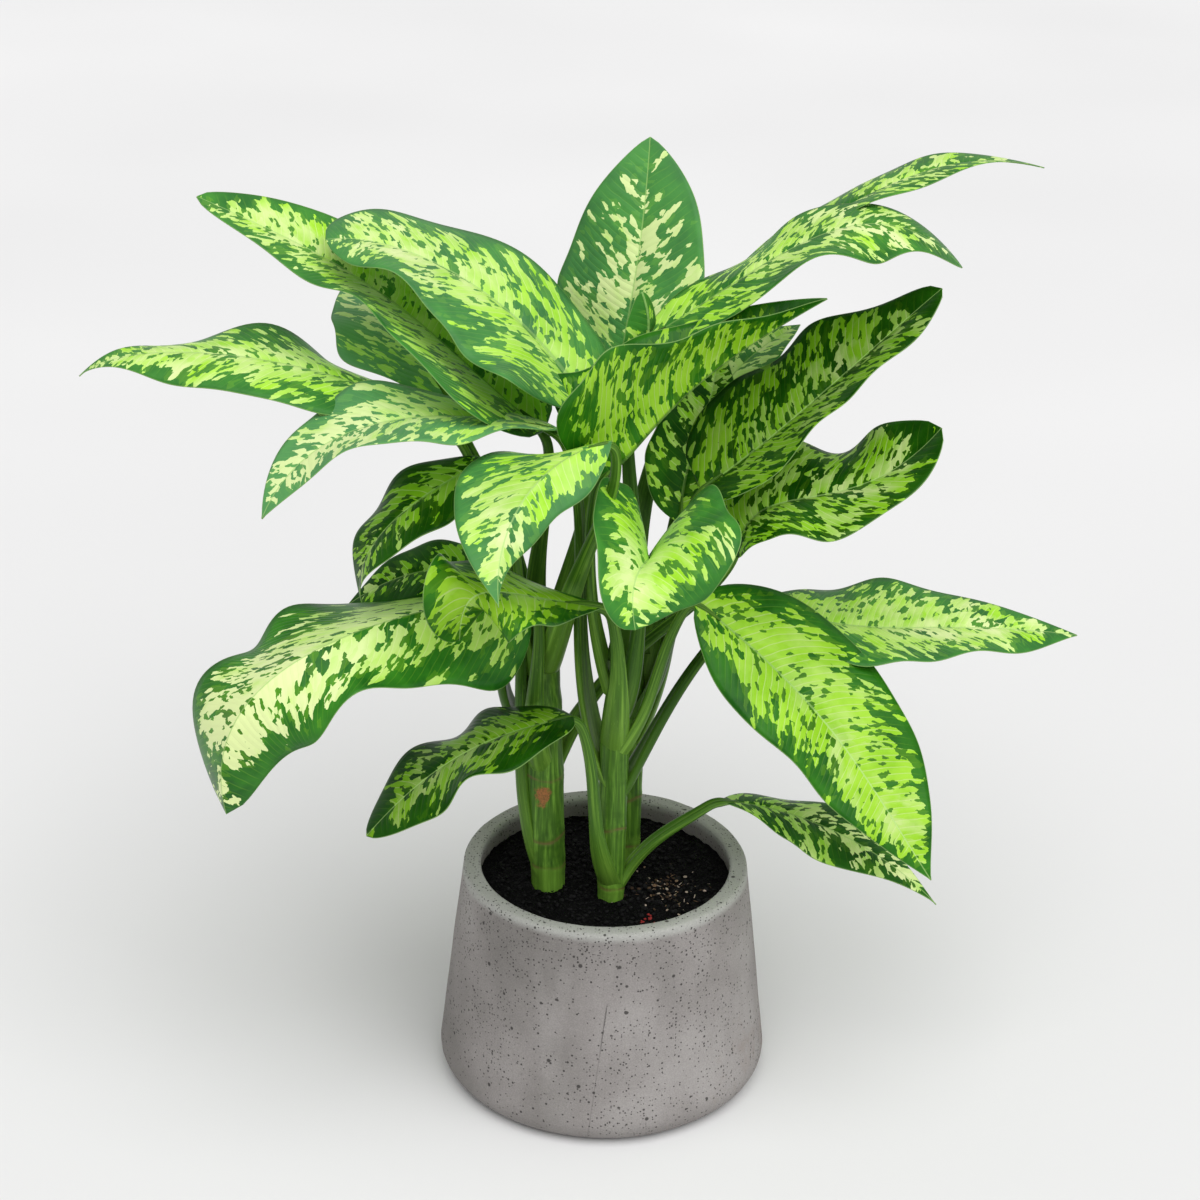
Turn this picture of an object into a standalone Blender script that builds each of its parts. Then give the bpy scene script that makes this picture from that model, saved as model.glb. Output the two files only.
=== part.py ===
"""A potted dieffenbachia: three short canes with 24 variegated leaves, in a tapered concrete pot.

Run it with blender --background --python part.py. Metres, +Z up. The origin is the middle of the
pot's underside, and -Y is the front of the plant.
"""

import math
from dataclasses import dataclass

import bmesh
import bpy
import numpy as np

# The gap between pieces that touch.
GAP = 0.0003

# The pot is cast concrete, wider at the foot than at the rim, with an even wall.
POT_HEIGHT = 0.162
FOOT_RADIUS = 0.118
RIM_RADIUS = 0.101
WALL = 0.013
POT_FLOOR = 0.016
FOOT_ROUNDING = 0.016
RIM_ROUNDING = 0.003
POT_STEPS = 48
ROUNDING_POINTS = 4

# The potting mix fills the pot to just under its rim, and the canes stand in it.
SOIL_TOP = 0.150
SOIL_EDGE_DROP = 0.003
SOIL_FLAT_RADIUS = 0.070
CANE_DEPTH = 0.040
CANE_SIDES = 16
SOCKET_SIDES = 32

# A leaf stalk is thickest at its foot and bends over to its neck, just before the blade.
STALK_FOOT_RADIUS = 0.0042
STALK_END_RADIUS = 0.0024
STALK_NECK = 0.004
STALK_POINTS = 8
STALK_SIDES = 8
STALK_BEND = 0.3
STALK_CROOK = 0.3

# A blade is a thin sheet, widest part way along and drawn out to a fine tip.
BLADE_THICKNESS = 0.0008
BLADE_BASE_HALF_WIDTH = 0.0024
BLADE_TIP_HALF_WIDTH = 0.0006
BLADE_SEGMENTS = (12, 4)
WAVES_PER_BLADE = 2.5
WAVE_OFFSET = 0.3

CONCRETE = (0.33, 0.32, 0.30)
SOIL_BROWN = (0.02, 0.014, 0.011)
STEM_GREEN = (0.10, 0.24, 0.05)
LEAF_GREENS = {
    "deep": (0.03, 0.12, 0.02),
    "mid": (0.09, 0.26, 0.05),
    "pale": (0.25, 0.45, 0.12),
}


@dataclass
class Cane:
    """Points up the middle of a cane, from the soil to its top, and its radius at both ends."""

    name: str
    points: tuple
    foot_radius: float
    top_radius: float


@dataclass
class Leaf:
    """Where a leaf grows and how its blade bends.

    The stalk leaves the cane at the height node, on the side that bearing gives as a compass
    angle, and the blade runs from base to tip. Pairs hold a value for the base and one for the
    tip: pitch is the climb of the midrib, veer its turn away from the straight line between the
    ends, roll its twist, cup how much of the fold the blade has there, and reach how far each
    end's direction carries. fold lifts the two halves of the blade, and halves scales their
    widths. curl bends each half down to its margin. belly is where the blade is widest, and a
    smaller point gives a blunter end. wave is how much the margins ruffle. rise is how far the
    stalk keeps to the cane's direction, and lean how much it starts outwards. Angles are in degrees.
    """

    name: str
    cane: str
    node: float
    bearing: float
    base: tuple
    tip: tuple
    width: float
    pitch: tuple
    veer: tuple = (0, 0)
    roll: tuple = (0, 0)
    fold: tuple = (10, 10)
    cup: tuple = (1, 1)
    halves: tuple = (1, 1)
    reach: tuple = (0.4, 0.4)
    curl: float = -15
    belly: float = 0.4
    point: float = 0.95
    wave: float = 0.08
    rise: float = 0.4
    lean: float = 0.3
    green: str = "mid"


CANES = (
    Cane(
        "cane_left",
        ((-0.040, -0.015, 0.150), (-0.043, -0.010, 0.220), (-0.046, -0.006, 0.300), (-0.042, -0.004, 0.350)),
        foot_radius=0.0105,
        top_radius=0.0075,
    ),
    Cane(
        "cane_right",
        ((0.004, -0.030, 0.150), (0.004, -0.028, 0.220), (0.005, -0.024, 0.290), (0.006, -0.021, 0.335)),
        foot_radius=0.0082,
        top_radius=0.0065,
    ),
    Cane(
        "cane_rear",
        ((0.016, 0.026, 0.150), (0.017, 0.028, 0.240), (0.019, 0.029, 0.330)),
        foot_radius=0.0080,
        top_radius=0.0062,
    ),
)

LEAVES = (
    # The left cane, from its lowest leaf up.
    Leaf("left_1", "cane_left", 0.165, 190, (-0.080, -0.028, 0.474), (-0.162, -0.060, 0.386), 0.068,
         pitch=(-15, -75), roll=(20, 15), fold=(0, 5), green="deep"),
    Leaf("left_2", "cane_left", 0.235, 40, (0.080, -0.010, 0.400), (0.214, 0.000, 0.492), 0.092,
         pitch=(35, 30), roll=(-20, -10), fold=(10, 5), belly=0.5, point=0.4, green="deep"),
    Leaf("left_3", "cane_left", 0.240, 250, (-0.054, -0.030, 0.385), (-0.250, -0.100, 0.253), 0.110,
         pitch=(5, -80), veer=(0, 45), roll=(32, 5), fold=(-20, -20), curl=-5, reach=(0.5, 0.5),
         belly=0.48, point=0.6, green="pale"),
    Leaf("left_4", "cane_left", 0.255, 170, (-0.075, 0.014, 0.379), (-0.181, 0.020, 0.347), 0.060,
         pitch=(10, -40), roll=(20, 20), lean=0.6, green="deep"),
    Leaf("left_5", "cane_left", 0.280, 105, (-0.108, 0.060, 0.479), (-0.186, 0.160, 0.538), 0.100,
         pitch=(60, 10), rise=0.7),
    Leaf("left_6", "cane_left", 0.312, 195, (-0.100, 0.005, 0.487), (-0.351, 0.015, 0.511), 0.090,
         pitch=(20, -25), roll=(15, 15), belly=0.38, point=1.8, rise=0.6, lean=0.1),
    Leaf("left_7", "cane_left", 0.310, 120, (-0.061, 0.020, 0.486), (-0.277, 0.070, 0.617), 0.088,
         pitch=(45, 8), roll=(15, 15)),
    Leaf("left_8", "cane_left", 0.315, 290, (-0.002, -0.065, 0.504), (-0.067, -0.170, 0.435), 0.080,
         pitch=(0, -60), veer=(-40, 20), fold=(-25, -5), curl=-10, halves=(0.8, 1.15), rise=0.65, lean=0.2,
         green="pale"),
    Leaf("left_9", "cane_left", 0.330, 60, (-0.022, 0.015, 0.500), (-0.188, 0.045, 0.598), 0.120,
         pitch=(50, -45), fold=(10, 2), point=0.6, green="pale"),
    # The right cane.
    Leaf("right_1", "cane_right", 0.155, 20, (0.076, -0.030, 0.226), (0.229, -0.050, 0.160), 0.052,
         pitch=(-5, -45), roll=(-15, -15), green="deep"),
    Leaf("right_2", "cane_right", 0.160, 240, (-0.025, -0.050, 0.301), (-0.159, -0.100, 0.235), 0.062,
         pitch=(-5, -45), roll=(10, 15), fold=(-5, 5), green="deep"),
    Leaf("right_3", "cane_right", 0.225, 25, (0.102, 0.020, 0.357), (0.327, 0.050, 0.320), 0.085,
         pitch=(-10, -8), roll=(-20, -20), fold=(-5, 10), green="pale"),
    Leaf("right_4", "cane_right", 0.235, 150, (-0.035, -0.020, 0.497), (-0.220, -0.090, 0.455), 0.078,
         pitch=(20, -60), roll=(5, 5), point=0.65),
    Leaf("right_5", "cane_right", 0.260, -20, (0.057, -0.030, 0.379), (0.217, -0.100, 0.210), 0.105,
         pitch=(-40, -50), roll=(-33, -33), halves=(1, 0.8), point=0.8, green="pale"),
    Leaf("right_6", "cane_right", 0.265, 270, (-0.003, -0.055, 0.385), (-0.087, -0.105, 0.377), 0.080,
         pitch=(25, -120), reach=(0.55, 1.0)),
    Leaf("right_7", "cane_right", 0.285, 300, (0.027, -0.035, 0.405), (0.015, -0.130, 0.404), 0.130,
         pitch=(20, -50), fold=(30, 36), cup=(1.9, 0.4), halves=(1, 0.75), belly=0.35),
    Leaf("right_8", "cane_right", 0.305, 170, (-0.007, -0.031, 0.466), (0.136, 0.020, 0.571), 0.105,
         pitch=(50, 20), fold=(60, 75), curl=-10, belly=0.3, point=1.3, lean=0.1, green="pale"),
    Leaf("right_9", "cane_right", 0.322, 65, (0.016, 0.050, 0.528), (0.227, 0.050, 0.585), 0.085,
         pitch=(45, -45), roll=(-10, -10), fold=(-10, -5), curl=-10, belly=0.5, point=0.8),
    # The rear cane, which the others hide from the front.
    Leaf("rear_1", "cane_rear", 0.240, 30, (0.047, 0.050, 0.401), (0.069, 0.086, 0.520), 0.052,
         pitch=(80, 70), veer=(40, 40), fold=(20, 20), green="deep"),
    Leaf("rear_2", "cane_rear", 0.260, -20, (0.058, 0.020, 0.442), (0.213, 0.040, 0.573), 0.100,
         pitch=(35, 40), roll=(-15, -5), fold=(20, 20), belly=0.36, green="deep"),
    Leaf("rear_3", "cane_rear", 0.270, 60, (0.055, 0.085, 0.448), (0.099, 0.150, 0.495), 0.060,
         pitch=(60, 10), fold=(15, 15)),
    Leaf("rear_4", "cane_rear", 0.305, 110, (0.083, 0.110, 0.563), (0.291, 0.150, 0.625), 0.058,
         pitch=(40, -12), roll=(5, 8)),
    Leaf("rear_5", "cane_rear", 0.305, 190, (-0.003, 0.025, 0.484), (0.016, 0.035, 0.569), 0.030,
         pitch=(80, 80), fold=(50, 50), curl=-5),
    Leaf("rear_6", "cane_rear", 0.310, 150, (-0.001, 0.095, 0.449), (0.021, 0.145, 0.642), 0.110,
         pitch=(70, 60), veer=(-40, 0), fold=(20, 5), belly=0.45, point=0.8),
)


def clear_scene():
    for obj in list(bpy.data.objects):
        bpy.data.objects.remove(obj, do_unlink=True)


def add_collection(name):
    collection = bpy.data.collections.new(name)
    bpy.context.scene.collection.children.link(collection)
    return collection


def add_object(collection, name, data, location=(0, 0, 0)):
    obj = bpy.data.objects.new(name, data)
    obj.location = location
    collection.objects.link(obj)
    return obj


def paint(obj, colour, roughness):
    material = bpy.data.materials.new(obj.name)
    material.use_nodes = True
    shader = material.node_tree.nodes["Principled BSDF"]
    shader.inputs["Base Color"].default_value = (*colour, 1)
    shader.inputs["Roughness"].default_value = roughness
    shader.inputs["Metallic"].default_value = 0
    obj.data.materials.append(material)


# The pot and the potting mix are turned from a profile.


def turned(collection, name, profile):
    """A solid of revolution. The profile is (radius, height) pairs from the axis round to it again."""
    bm = bmesh.new()
    vertices = [bm.verts.new((radius, 0, height)) for radius, height in profile]
    for start, end in zip(vertices, vertices[1:]):
        bm.edges.new((start, end))
    mesh = bpy.data.meshes.new(name)
    bm.to_mesh(mesh)
    bm.free()
    obj = add_object(collection, name, mesh)
    screw = obj.modifiers.new("turn", "SCREW")
    screw.steps = screw.render_steps = POT_STEPS
    screw.use_merge_vertices = True
    screw.merge_threshold = 0.0001
    screw.use_smooth_shade = True
    return obj


def corner(radius, height, rounding, start, end):
    """Points along a rounded corner about (radius, height), from one angle to the other."""
    angles = np.radians(np.linspace(start, end, ROUNDING_POINTS))
    return [(radius + rounding * math.cos(a), height + rounding * math.sin(a)) for a in angles]


def inner_radius(height):
    """The radius of the pot's inner wall at this height, which keeps the wall's thickness even."""
    return FOOT_RADIUS + (RIM_RADIUS - FOOT_RADIUS) * height / POT_HEIGHT - WALL


def add_pot(collection):
    rim = POT_HEIGHT - RIM_ROUNDING
    profile = [(0, POT_FLOOR), (inner_radius(POT_FLOOR), POT_FLOOR)]
    profile += corner(inner_radius(rim) + RIM_ROUNDING, rim, RIM_ROUNDING, 180, 90)
    profile += corner(RIM_RADIUS - RIM_ROUNDING, rim, RIM_ROUNDING, 90, 0)
    profile += corner(FOOT_RADIUS - FOOT_ROUNDING, FOOT_ROUNDING, FOOT_ROUNDING, 0, -90)
    profile += [(0, 0)]
    pot = turned(collection, "pot", profile)
    paint(pot, CONCRETE, 0.85)


def add_soil(collection, cutters):
    """The mix, with a socket for the buried foot of each cane."""
    edge = SOIL_TOP - SOIL_EDGE_DROP
    floor = POT_FLOOR + GAP
    profile = [(0, SOIL_TOP), (SOIL_FLAT_RADIUS, SOIL_TOP)]
    profile += [(inner_radius(edge) - GAP, edge), (inner_radius(floor) - GAP, floor), (0, floor)]
    soil = turned(collection, "soil", profile)
    for cane in CANES:
        cutter = socket_cutter(cutters, cane)
        socket = soil.modifiers.new(cutter.name, "BOOLEAN")
        socket.operation = "DIFFERENCE"
        socket.solver = "EXACT"
        socket.object = cutter
    paint(soil, SOIL_BROWN, 0.95)


def socket_cutter(cutters, cane):
    depth = CANE_DEPTH + GAP
    height = 2 * depth
    bm = bmesh.new()
    bmesh.ops.create_cone(
        bm,
        cap_ends=True,
        segments=SOCKET_SIDES,
        radius1=cane.foot_radius + 2 * GAP,
        radius2=cane.foot_radius + 2 * GAP,
        depth=height,
    )
    mesh = bpy.data.meshes.new(f"socket_{cane.name}")
    bm.to_mesh(mesh)
    bm.free()
    x, y, _ = cane.points[0]
    cutter = add_object(cutters, mesh.name, mesh, (x, y, SOIL_TOP - depth + height / 2))
    cutter.hide_render = True
    cutter.display_type = "WIRE"
    return cutter


# Canes and leaf stalks are round tubes.


def add_tube(collection, name, points, radii, sides):
    """A solid round tube through these points. Its origin is the first of them."""
    curve = bpy.data.curves.new(name, "CURVE")
    curve.dimensions = "3D"
    curve.bevel_depth = 1
    curve.bevel_resolution = (sides - 4) // 2
    curve.use_fill_caps = True
    spline = curve.splines.new("POLY")
    spline.points.add(len(points) - 1)
    origin = np.array(points[0])
    for spot, point, radius in zip(spline.points, points, radii):
        spot.co = (*(np.array(point) - origin), 1)
        spot.radius = radius
    spline.use_smooth = True
    return add_object(collection, name, curve, origin)


def add_cane(collection, cane):
    x, y, soil_height = cane.points[0]
    points = [(x, y, soil_height - CANE_DEPTH), *cane.points]
    radii = [cane.foot_radius, *np.linspace(cane.foot_radius, cane.top_radius, len(cane.points))]
    obj = add_tube(collection, cane.name, points, radii, CANE_SIDES)
    paint(obj, STEM_GREEN, 0.45)


def on_cane(cane, height):
    """The middle of the cane at this height, its direction there and its radius."""
    points = np.array(cane.points)
    heights = points[:, 2]
    middle = np.array([np.interp(height, heights, points[:, axis]) for axis in range(3)])
    section = min(np.searchsorted(heights, height, side="right"), len(points) - 1)
    way_up = points[section] - points[section - 1]
    share = np.interp(height, heights, np.linspace(0, 1, len(points)))
    radius = cane.foot_radius + (cane.top_radius - cane.foot_radius) * share
    return middle, way_up / np.linalg.norm(way_up), radius


def bezier(start, first, second, end, s):
    s = s[:, None]
    return (1 - s) ** 3 * start + 3 * (1 - s) ** 2 * s * first + 3 * (1 - s) * s**2 * second + s**3 * end


def add_stalk(collection, leaf):
    """The stalk leaves its node close to the cane, rises, and bends over to meet the blade."""
    cane = next(cane for cane in CANES if cane.name == leaf.cane)
    middle, way_up, cane_radius = on_cane(cane, leaf.node)
    outward = direction(0, leaf.bearing)
    foot = middle + outward * (cane_radius + STALK_FOOT_RADIUS + GAP)
    _, along = midrib(leaf, np.array([0.0]))
    end = np.array(leaf.base) - along[0] * GAP
    neck = end - along[0] * STALK_NECK
    span = np.linalg.norm(neck - foot)
    arrival = along[0] * STALK_BEND + (neck - foot) / span
    first = foot + (way_up + outward * leaf.lean) * span * leaf.rise
    second = neck - arrival / np.linalg.norm(arrival) * span * STALK_CROOK
    points = [*bezier(foot, first, second, neck, np.linspace(0, 1, STALK_POINTS)), end]
    radii = np.linspace(STALK_FOOT_RADIUS, STALK_END_RADIUS, len(points))
    obj = add_tube(collection, f"stalk_{leaf.name}", points, radii, STALK_SIDES)
    paint(obj, STEM_GREEN, 0.4)


# Leaf blades are sheets bent along a midrib.


def direction(pitch, bearing):
    pitch, bearing = math.radians(pitch), math.radians(bearing)
    flat = math.cos(pitch)
    return np.array([flat * math.cos(bearing), flat * math.sin(bearing), math.sin(pitch)])


def bearing_of(leaf):
    x, y, _ = np.subtract(leaf.tip, leaf.base)
    return math.degrees(math.atan2(y, x))


def midrib(leaf, s):
    """Points along the midrib, and its direction at each."""
    base, tip = np.array(leaf.base), np.array(leaf.tip)
    length = np.linalg.norm(tip - base)
    bearing = bearing_of(leaf)
    first = base + direction(leaf.pitch[0], bearing + leaf.veer[0]) * length * leaf.reach[0]
    second = tip - direction(leaf.pitch[1], bearing + leaf.veer[1]) * length * leaf.reach[1]
    points = bezier(base, first, second, tip, s)
    t = s[:, None]
    along = (1 - t) ** 2 * (first - base) + 2 * (1 - t) * t * (second - first) + t**2 * (tip - second)
    return points, along / np.linalg.norm(along, axis=1, keepdims=True)


def between(pair, s):
    return pair[0] + (pair[1] - pair[0]) * s


def half_width(leaf, s):
    """Half of the blade's width at s, from a profile that rises to 1 at the belly."""
    rise = leaf.belly * leaf.point / (1 - leaf.belly)
    peak = leaf.belly**rise * (1 - leaf.belly) ** leaf.point
    profile = s**rise * (1 - s) ** leaf.point / peak
    least = between((BLADE_BASE_HALF_WIDTH, BLADE_TIP_HALF_WIDTH), s)
    return np.maximum(leaf.width / 2 * profile, least)


def blade_points(leaf, s, across):
    """Points on the blade, s from its base to its tip and across from -1 to 1 over its width."""
    points, along = midrib(leaf, s)
    turn = np.radians(bearing_of(leaf) + between(leaf.veer, s))
    side = np.stack([np.sin(turn), -np.cos(turn), np.zeros_like(s)], axis=1)
    side -= along * np.sum(along * side, axis=1, keepdims=True)
    side /= np.linalg.norm(side, axis=1, keepdims=True)
    up = np.cross(side, along)
    roll = np.radians(between(leaf.roll, s))[:, None]
    side, up = side * np.cos(roll) + up * np.sin(roll), up * np.cos(roll) - side * np.sin(roll)

    right = across > 0
    reach = np.abs(across)
    fold = np.radians(np.where(right, leaf.fold[1], leaf.fold[0]) * between(leaf.cup, s))
    curl = math.radians(leaf.curl)
    bent = fold + curl * reach
    out = (np.sin(bent) - np.sin(fold)) / curl * np.sign(across)
    lift = (np.cos(fold) - np.cos(bent)) / curl
    width = half_width(leaf, s) * np.where(right, leaf.halves[1], leaf.halves[0])
    phase = 2 * math.pi * (WAVES_PER_BLADE * s + WAVE_OFFSET * right)
    lift += leaf.wave * reach**2 * np.sin(phase) * np.sqrt(np.sin(math.pi * s))
    return points + side * (out * width)[:, None] + up * (lift * width)[:, None]


def add_blade(collection, leaf):
    bm = bmesh.new()
    long_way, short_way = BLADE_SEGMENTS
    bmesh.ops.create_grid(bm, x_segments=long_way, y_segments=short_way, size=0.5)
    flat = np.array([vertex.co for vertex in bm.verts])
    s = np.clip(flat[:, 0] + 0.5, 0, 1)
    across = -2 * flat[:, 1]
    origin = np.array(leaf.base)
    for vertex, point in zip(bm.verts, blade_points(leaf, s, across)):
        vertex.co = point - origin
    for face in bm.faces:
        face.smooth = True
    mesh = bpy.data.meshes.new(f"leaf_{leaf.name}")
    bm.to_mesh(mesh)
    bm.free()
    obj = add_object(collection, mesh.name, mesh, origin)
    sheet = obj.modifiers.new("thickness", "SOLIDIFY")
    sheet.thickness = BLADE_THICKNESS
    sheet.offset = 0
    paint(obj, LEAF_GREENS[leaf.green], 0.35)


clear_scene()
plant = add_collection("potted_dieffenbachia")
add_pot(plant)
add_soil(plant, add_collection("cutters"))
for cane in CANES:
    add_cane(plant, cane)
for leaf in LEAVES:
    add_stalk(plant, leaf)
    add_blade(plant, leaf)
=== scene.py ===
"""The looks of a potted dieffenbachia: pot, potting mix, canes, leaf blades and leaf stalks.

Metres, +Z up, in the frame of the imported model. -Y is the front of the plant.
"""

import math
from dataclasses import dataclass

import bmesh
import bpy
import numpy as np
from mathutils import Matrix, Vector, noise


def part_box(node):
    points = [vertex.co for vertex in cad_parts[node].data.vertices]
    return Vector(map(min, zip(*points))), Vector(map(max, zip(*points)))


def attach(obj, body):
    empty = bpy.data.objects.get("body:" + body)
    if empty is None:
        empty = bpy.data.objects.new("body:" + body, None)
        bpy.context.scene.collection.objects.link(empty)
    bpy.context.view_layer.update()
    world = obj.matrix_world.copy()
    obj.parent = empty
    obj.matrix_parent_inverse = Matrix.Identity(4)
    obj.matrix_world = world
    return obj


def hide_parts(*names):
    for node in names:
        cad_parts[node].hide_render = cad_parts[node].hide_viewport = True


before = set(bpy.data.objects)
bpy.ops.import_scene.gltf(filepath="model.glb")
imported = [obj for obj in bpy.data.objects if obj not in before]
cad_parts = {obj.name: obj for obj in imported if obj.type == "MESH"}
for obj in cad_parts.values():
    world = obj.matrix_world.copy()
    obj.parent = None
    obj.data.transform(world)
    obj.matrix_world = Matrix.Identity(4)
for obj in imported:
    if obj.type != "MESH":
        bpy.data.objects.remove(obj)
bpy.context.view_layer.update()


# ---- The pot --------------------------------------------------------------------------------
# One casting of grey concrete, poured upside down, so that it is widest at its foot. Air trapped
# against the mould leaves small dark pits, and the rim top is painted paler than the wall, as
# painted light.

FOOT_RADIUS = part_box("pot")[1].x
POT_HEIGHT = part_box("pot")[1].z
RIM_RADIUS = 0.101
WALL = 0.013
POT_FLOOR = 0.016
FOOT_ROUNDING = 0.016
RIM_ROUNDING = 0.0028
POT_STEPS = 192

CONCRETE_GREY = (0.29, 0.27, 0.262, 1)
CONCRETE_PALE = (0.40, 0.38, 0.37, 1)
CONCRETE_DAMP = (0.20, 0.188, 0.178, 1)
RIM_GREY = (0.43, 0.435, 0.41, 1)
PIT_DARK = (0.030, 0.028, 0.026, 1)
STAIN_BROWN = (0.24, 0.19, 0.16, 1)
SAND_DARK = (0.36, 0.36, 0.36, 1)
SAND_LIGHT = (0.64, 0.64, 0.64, 1)

# How far the wall and the rim stray from true, and in how many waves to the metre.
WALL_SLACK = 0.0005
WALL_WAVES = 16
RIM_SLACK = 0.0003
RIM_WAVES = 60
# The hairline: where it would meet the floor, its lean and its waver, and the heights at which it
# starts, is deepest, begins to thin and is faintest.
CRACK_FOOT = -0.0099
CRACK_LEAN = 0.115
CRACK_SLACK = 0.0016
CRACK_TOP, CRACK_DEEP, CRACK_THIN, CRACK_FAINT = 0.113, 0.106, 0.088, 0.070


def corner(radius, height, rounding, start, end, points):
    """Points along a rounded corner about (radius, height), from one angle to the other."""
    angles = np.radians(np.linspace(start, end, points))
    return [(radius + rounding * math.cos(a), height + rounding * math.sin(a)) for a in angles]


def line(start, end, points):
    """Even steps between two places of a profile, without its ends."""
    return [tuple(np.add(start, np.subtract(end, start) * i / points)) for i in range(1, points)]


def inner_radius(height):
    return FOOT_RADIUS + (RIM_RADIUS - FOOT_RADIUS) * height / POT_HEIGHT - WALL


def turned(profile, steps):
    """A closed shape turned from a profile that starts and ends on the axis."""
    bm = bmesh.new()
    points = [bm.verts.new((radius, 0, height)) for radius, height in profile]
    edges = [bm.edges.new(pair) for pair in zip(points, points[1:])]
    bmesh.ops.spin(
        bm,
        geom=points + edges,
        cent=(0, 0, 0),
        axis=(0, 0, 1),
        angle=2 * math.pi,
        steps=steps,
        use_merge=True,
    )
    bmesh.ops.remove_doubles(bm, verts=bm.verts, dist=1e-6)
    bmesh.ops.recalc_face_normals(bm, faces=bm.faces)
    return bm


def cast_pot():
    rim = POT_HEIGHT - RIM_ROUNDING
    lip = corner(RIM_RADIUS - WALL + RIM_ROUNDING, rim, RIM_ROUNDING, 180, 90, 5)
    lip += corner(RIM_RADIUS - RIM_ROUNDING, rim, RIM_ROUNDING, 90, 0, 5)
    foot = corner(FOOT_RADIUS - FOOT_ROUNDING, FOOT_ROUNDING, FOOT_ROUNDING, 0, -90, 9)
    floor_edge = (inner_radius(POT_FLOOR), POT_FLOOR)
    profile = [(0, POT_FLOOR), floor_edge, *line(floor_edge, lip[0], 16), *lip]
    profile += [*line(lip[-1], foot[0], 30), *foot, (0, 0)]
    bm = turned(profile, POT_STEPS)
    for vertex in bm.verts:
        outward = Vector((vertex.co.x, vertex.co.y, 0)).normalized()
        if vertex.co.xy.length > inner_radius(vertex.co.z) + 0.002 and vertex.co.z > 0.001:
            dent = noise.fractal(vertex.co * WALL_WAVES, 1, 2, 3)
            vertex.co -= outward * WALL_SLACK * (1 + dent)
        if vertex.co.z > rim:
            vertex.co.z += RIM_SLACK * noise.noise(vertex.co * RIM_WAVES)
    return bm


def piece_of(name, bm, material):
    """A piece of this name, of one material, from a mesh that is in its place."""
    mesh = bpy.data.meshes.new(name)
    bm.to_mesh(mesh)
    bm.free()
    piece = bpy.data.objects.new(name, mesh)
    bpy.context.scene.collection.objects.link(piece)
    piece.data.materials.append(material)
    return piece


def finished(name, bm, material, node):
    """A smooth piece of the plant, which stands for the solid called node."""
    for face in bm.faces:
        face.smooth = True
    piece = piece_of(name, bm, material)
    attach(piece, "root")
    if node:
        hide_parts(node)
    return piece


def feed(tree, socket, value):
    """Links a socket, or sets a value, on this input."""
    if isinstance(value, bpy.types.NodeSocket):
        tree.links.new(value, socket)
    else:
        socket.default_value = value


def node_of(tree, kind, inputs, **settings):
    """A node with these settings, whose inputs are fed by name or by number."""
    made = tree.nodes.new(kind)
    for name, value in settings.items():
        setattr(made, name, value)
    for name, value in inputs.items():
        feed(tree, made.inputs[name], value)
    return made


def place_on(tree):
    """Where each point of the piece is, in metres."""
    return node_of(tree, "ShaderNodeTexCoord", {}).outputs["Object"]


def parts_of(tree, vector):
    return node_of(tree, "ShaderNodeSeparateXYZ", {"Vector": vector}).outputs


def maths(tree, operation, *values):
    made = node_of(tree, "ShaderNodeMath", dict(enumerate(values)), operation=operation)
    return made.outputs[0]


def times(tree, first, second):
    return maths(tree, "MULTIPLY", first, second)


def scaled(tree, value, gain, shift):
    """The value times the gain, plus the shift."""
    return maths(tree, "MULTIPLY_ADD", value, gain, shift)


def step(tree, value, low, high, first=0.0, last=1.0):
    """Runs smoothly from first, where value is low, to last, where it is high."""
    inputs = {"Value": value, "From Min": low, "From Max": high, "To Min": first, "To Max": last}
    made = node_of(tree, "ShaderNodeMapRange", inputs, interpolation_type="SMOOTHSTEP")
    return made.outputs["Result"]


def blend(tree, share, first, second, kind="MIX"):
    inputs = {0: share, 6: first, 7: second}
    made = node_of(tree, "ShaderNodeMix", inputs, data_type="RGBA", blend_type=kind)
    return made.outputs[2]


def tinted(tree, colour, tint, mask, low, high, share):
    """The colour, turned into the tint by up to this share as the mask goes from low to high."""
    return blend(tree, step(tree, mask, low, high, 0, share), colour, tint)


def grains(tree, place, scale, detail=2.0, roughness=0.5):
    """Even noise about 0.5 at this place."""
    inputs = {"Vector": place, "Scale": scale, "Detail": detail, "Roughness": roughness}
    return node_of(tree, "ShaderNodeTexNoise", inputs).outputs["Fac"]


def ramp(tree, value, *stops):
    """A colour that runs through (place, colour) stops."""
    made = node_of(tree, "ShaderNodeValToRGB", {"Fac": value})
    elements = made.color_ramp.elements
    while len(elements) < len(stops):
        elements.new(0.5)
    for element, (place, colour) in zip(elements, stops):
        element.position = place
        element.color = colour
    return made.outputs["Color"]


def stretched(tree, place, scale):
    """The same place with each axis scaled, for a grain that runs one way."""
    inputs = {"Vector": place, "Scale": scale}
    return node_of(tree, "ShaderNodeMapping", inputs).outputs["Vector"]


def new_material(name, **values):
    """A Principled material, with values that are even all over it set on the shader."""
    material = bpy.data.materials.new(name)
    material.use_nodes = True
    shader = material.node_tree.nodes["Principled BSDF"]
    for socket, value in values.items():
        shader.inputs[socket.replace("_", " ")].default_value = value
    return material, material.node_tree, shader


def finish_surface(tree, shader, colour, roughness, height, depth, strength=1.0):
    """Feeds colour and roughness to the shader, and a relief this deep."""
    feed(tree, shader.inputs["Base Color"], colour)
    feed(tree, shader.inputs["Roughness"], roughness)
    inputs = {"Height": height, "Strength": strength, "Distance": depth}
    bump = node_of(tree, "ShaderNodeBump", inputs)
    feed(tree, shader.inputs["Normal"], bump.outputs["Normal"])


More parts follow.
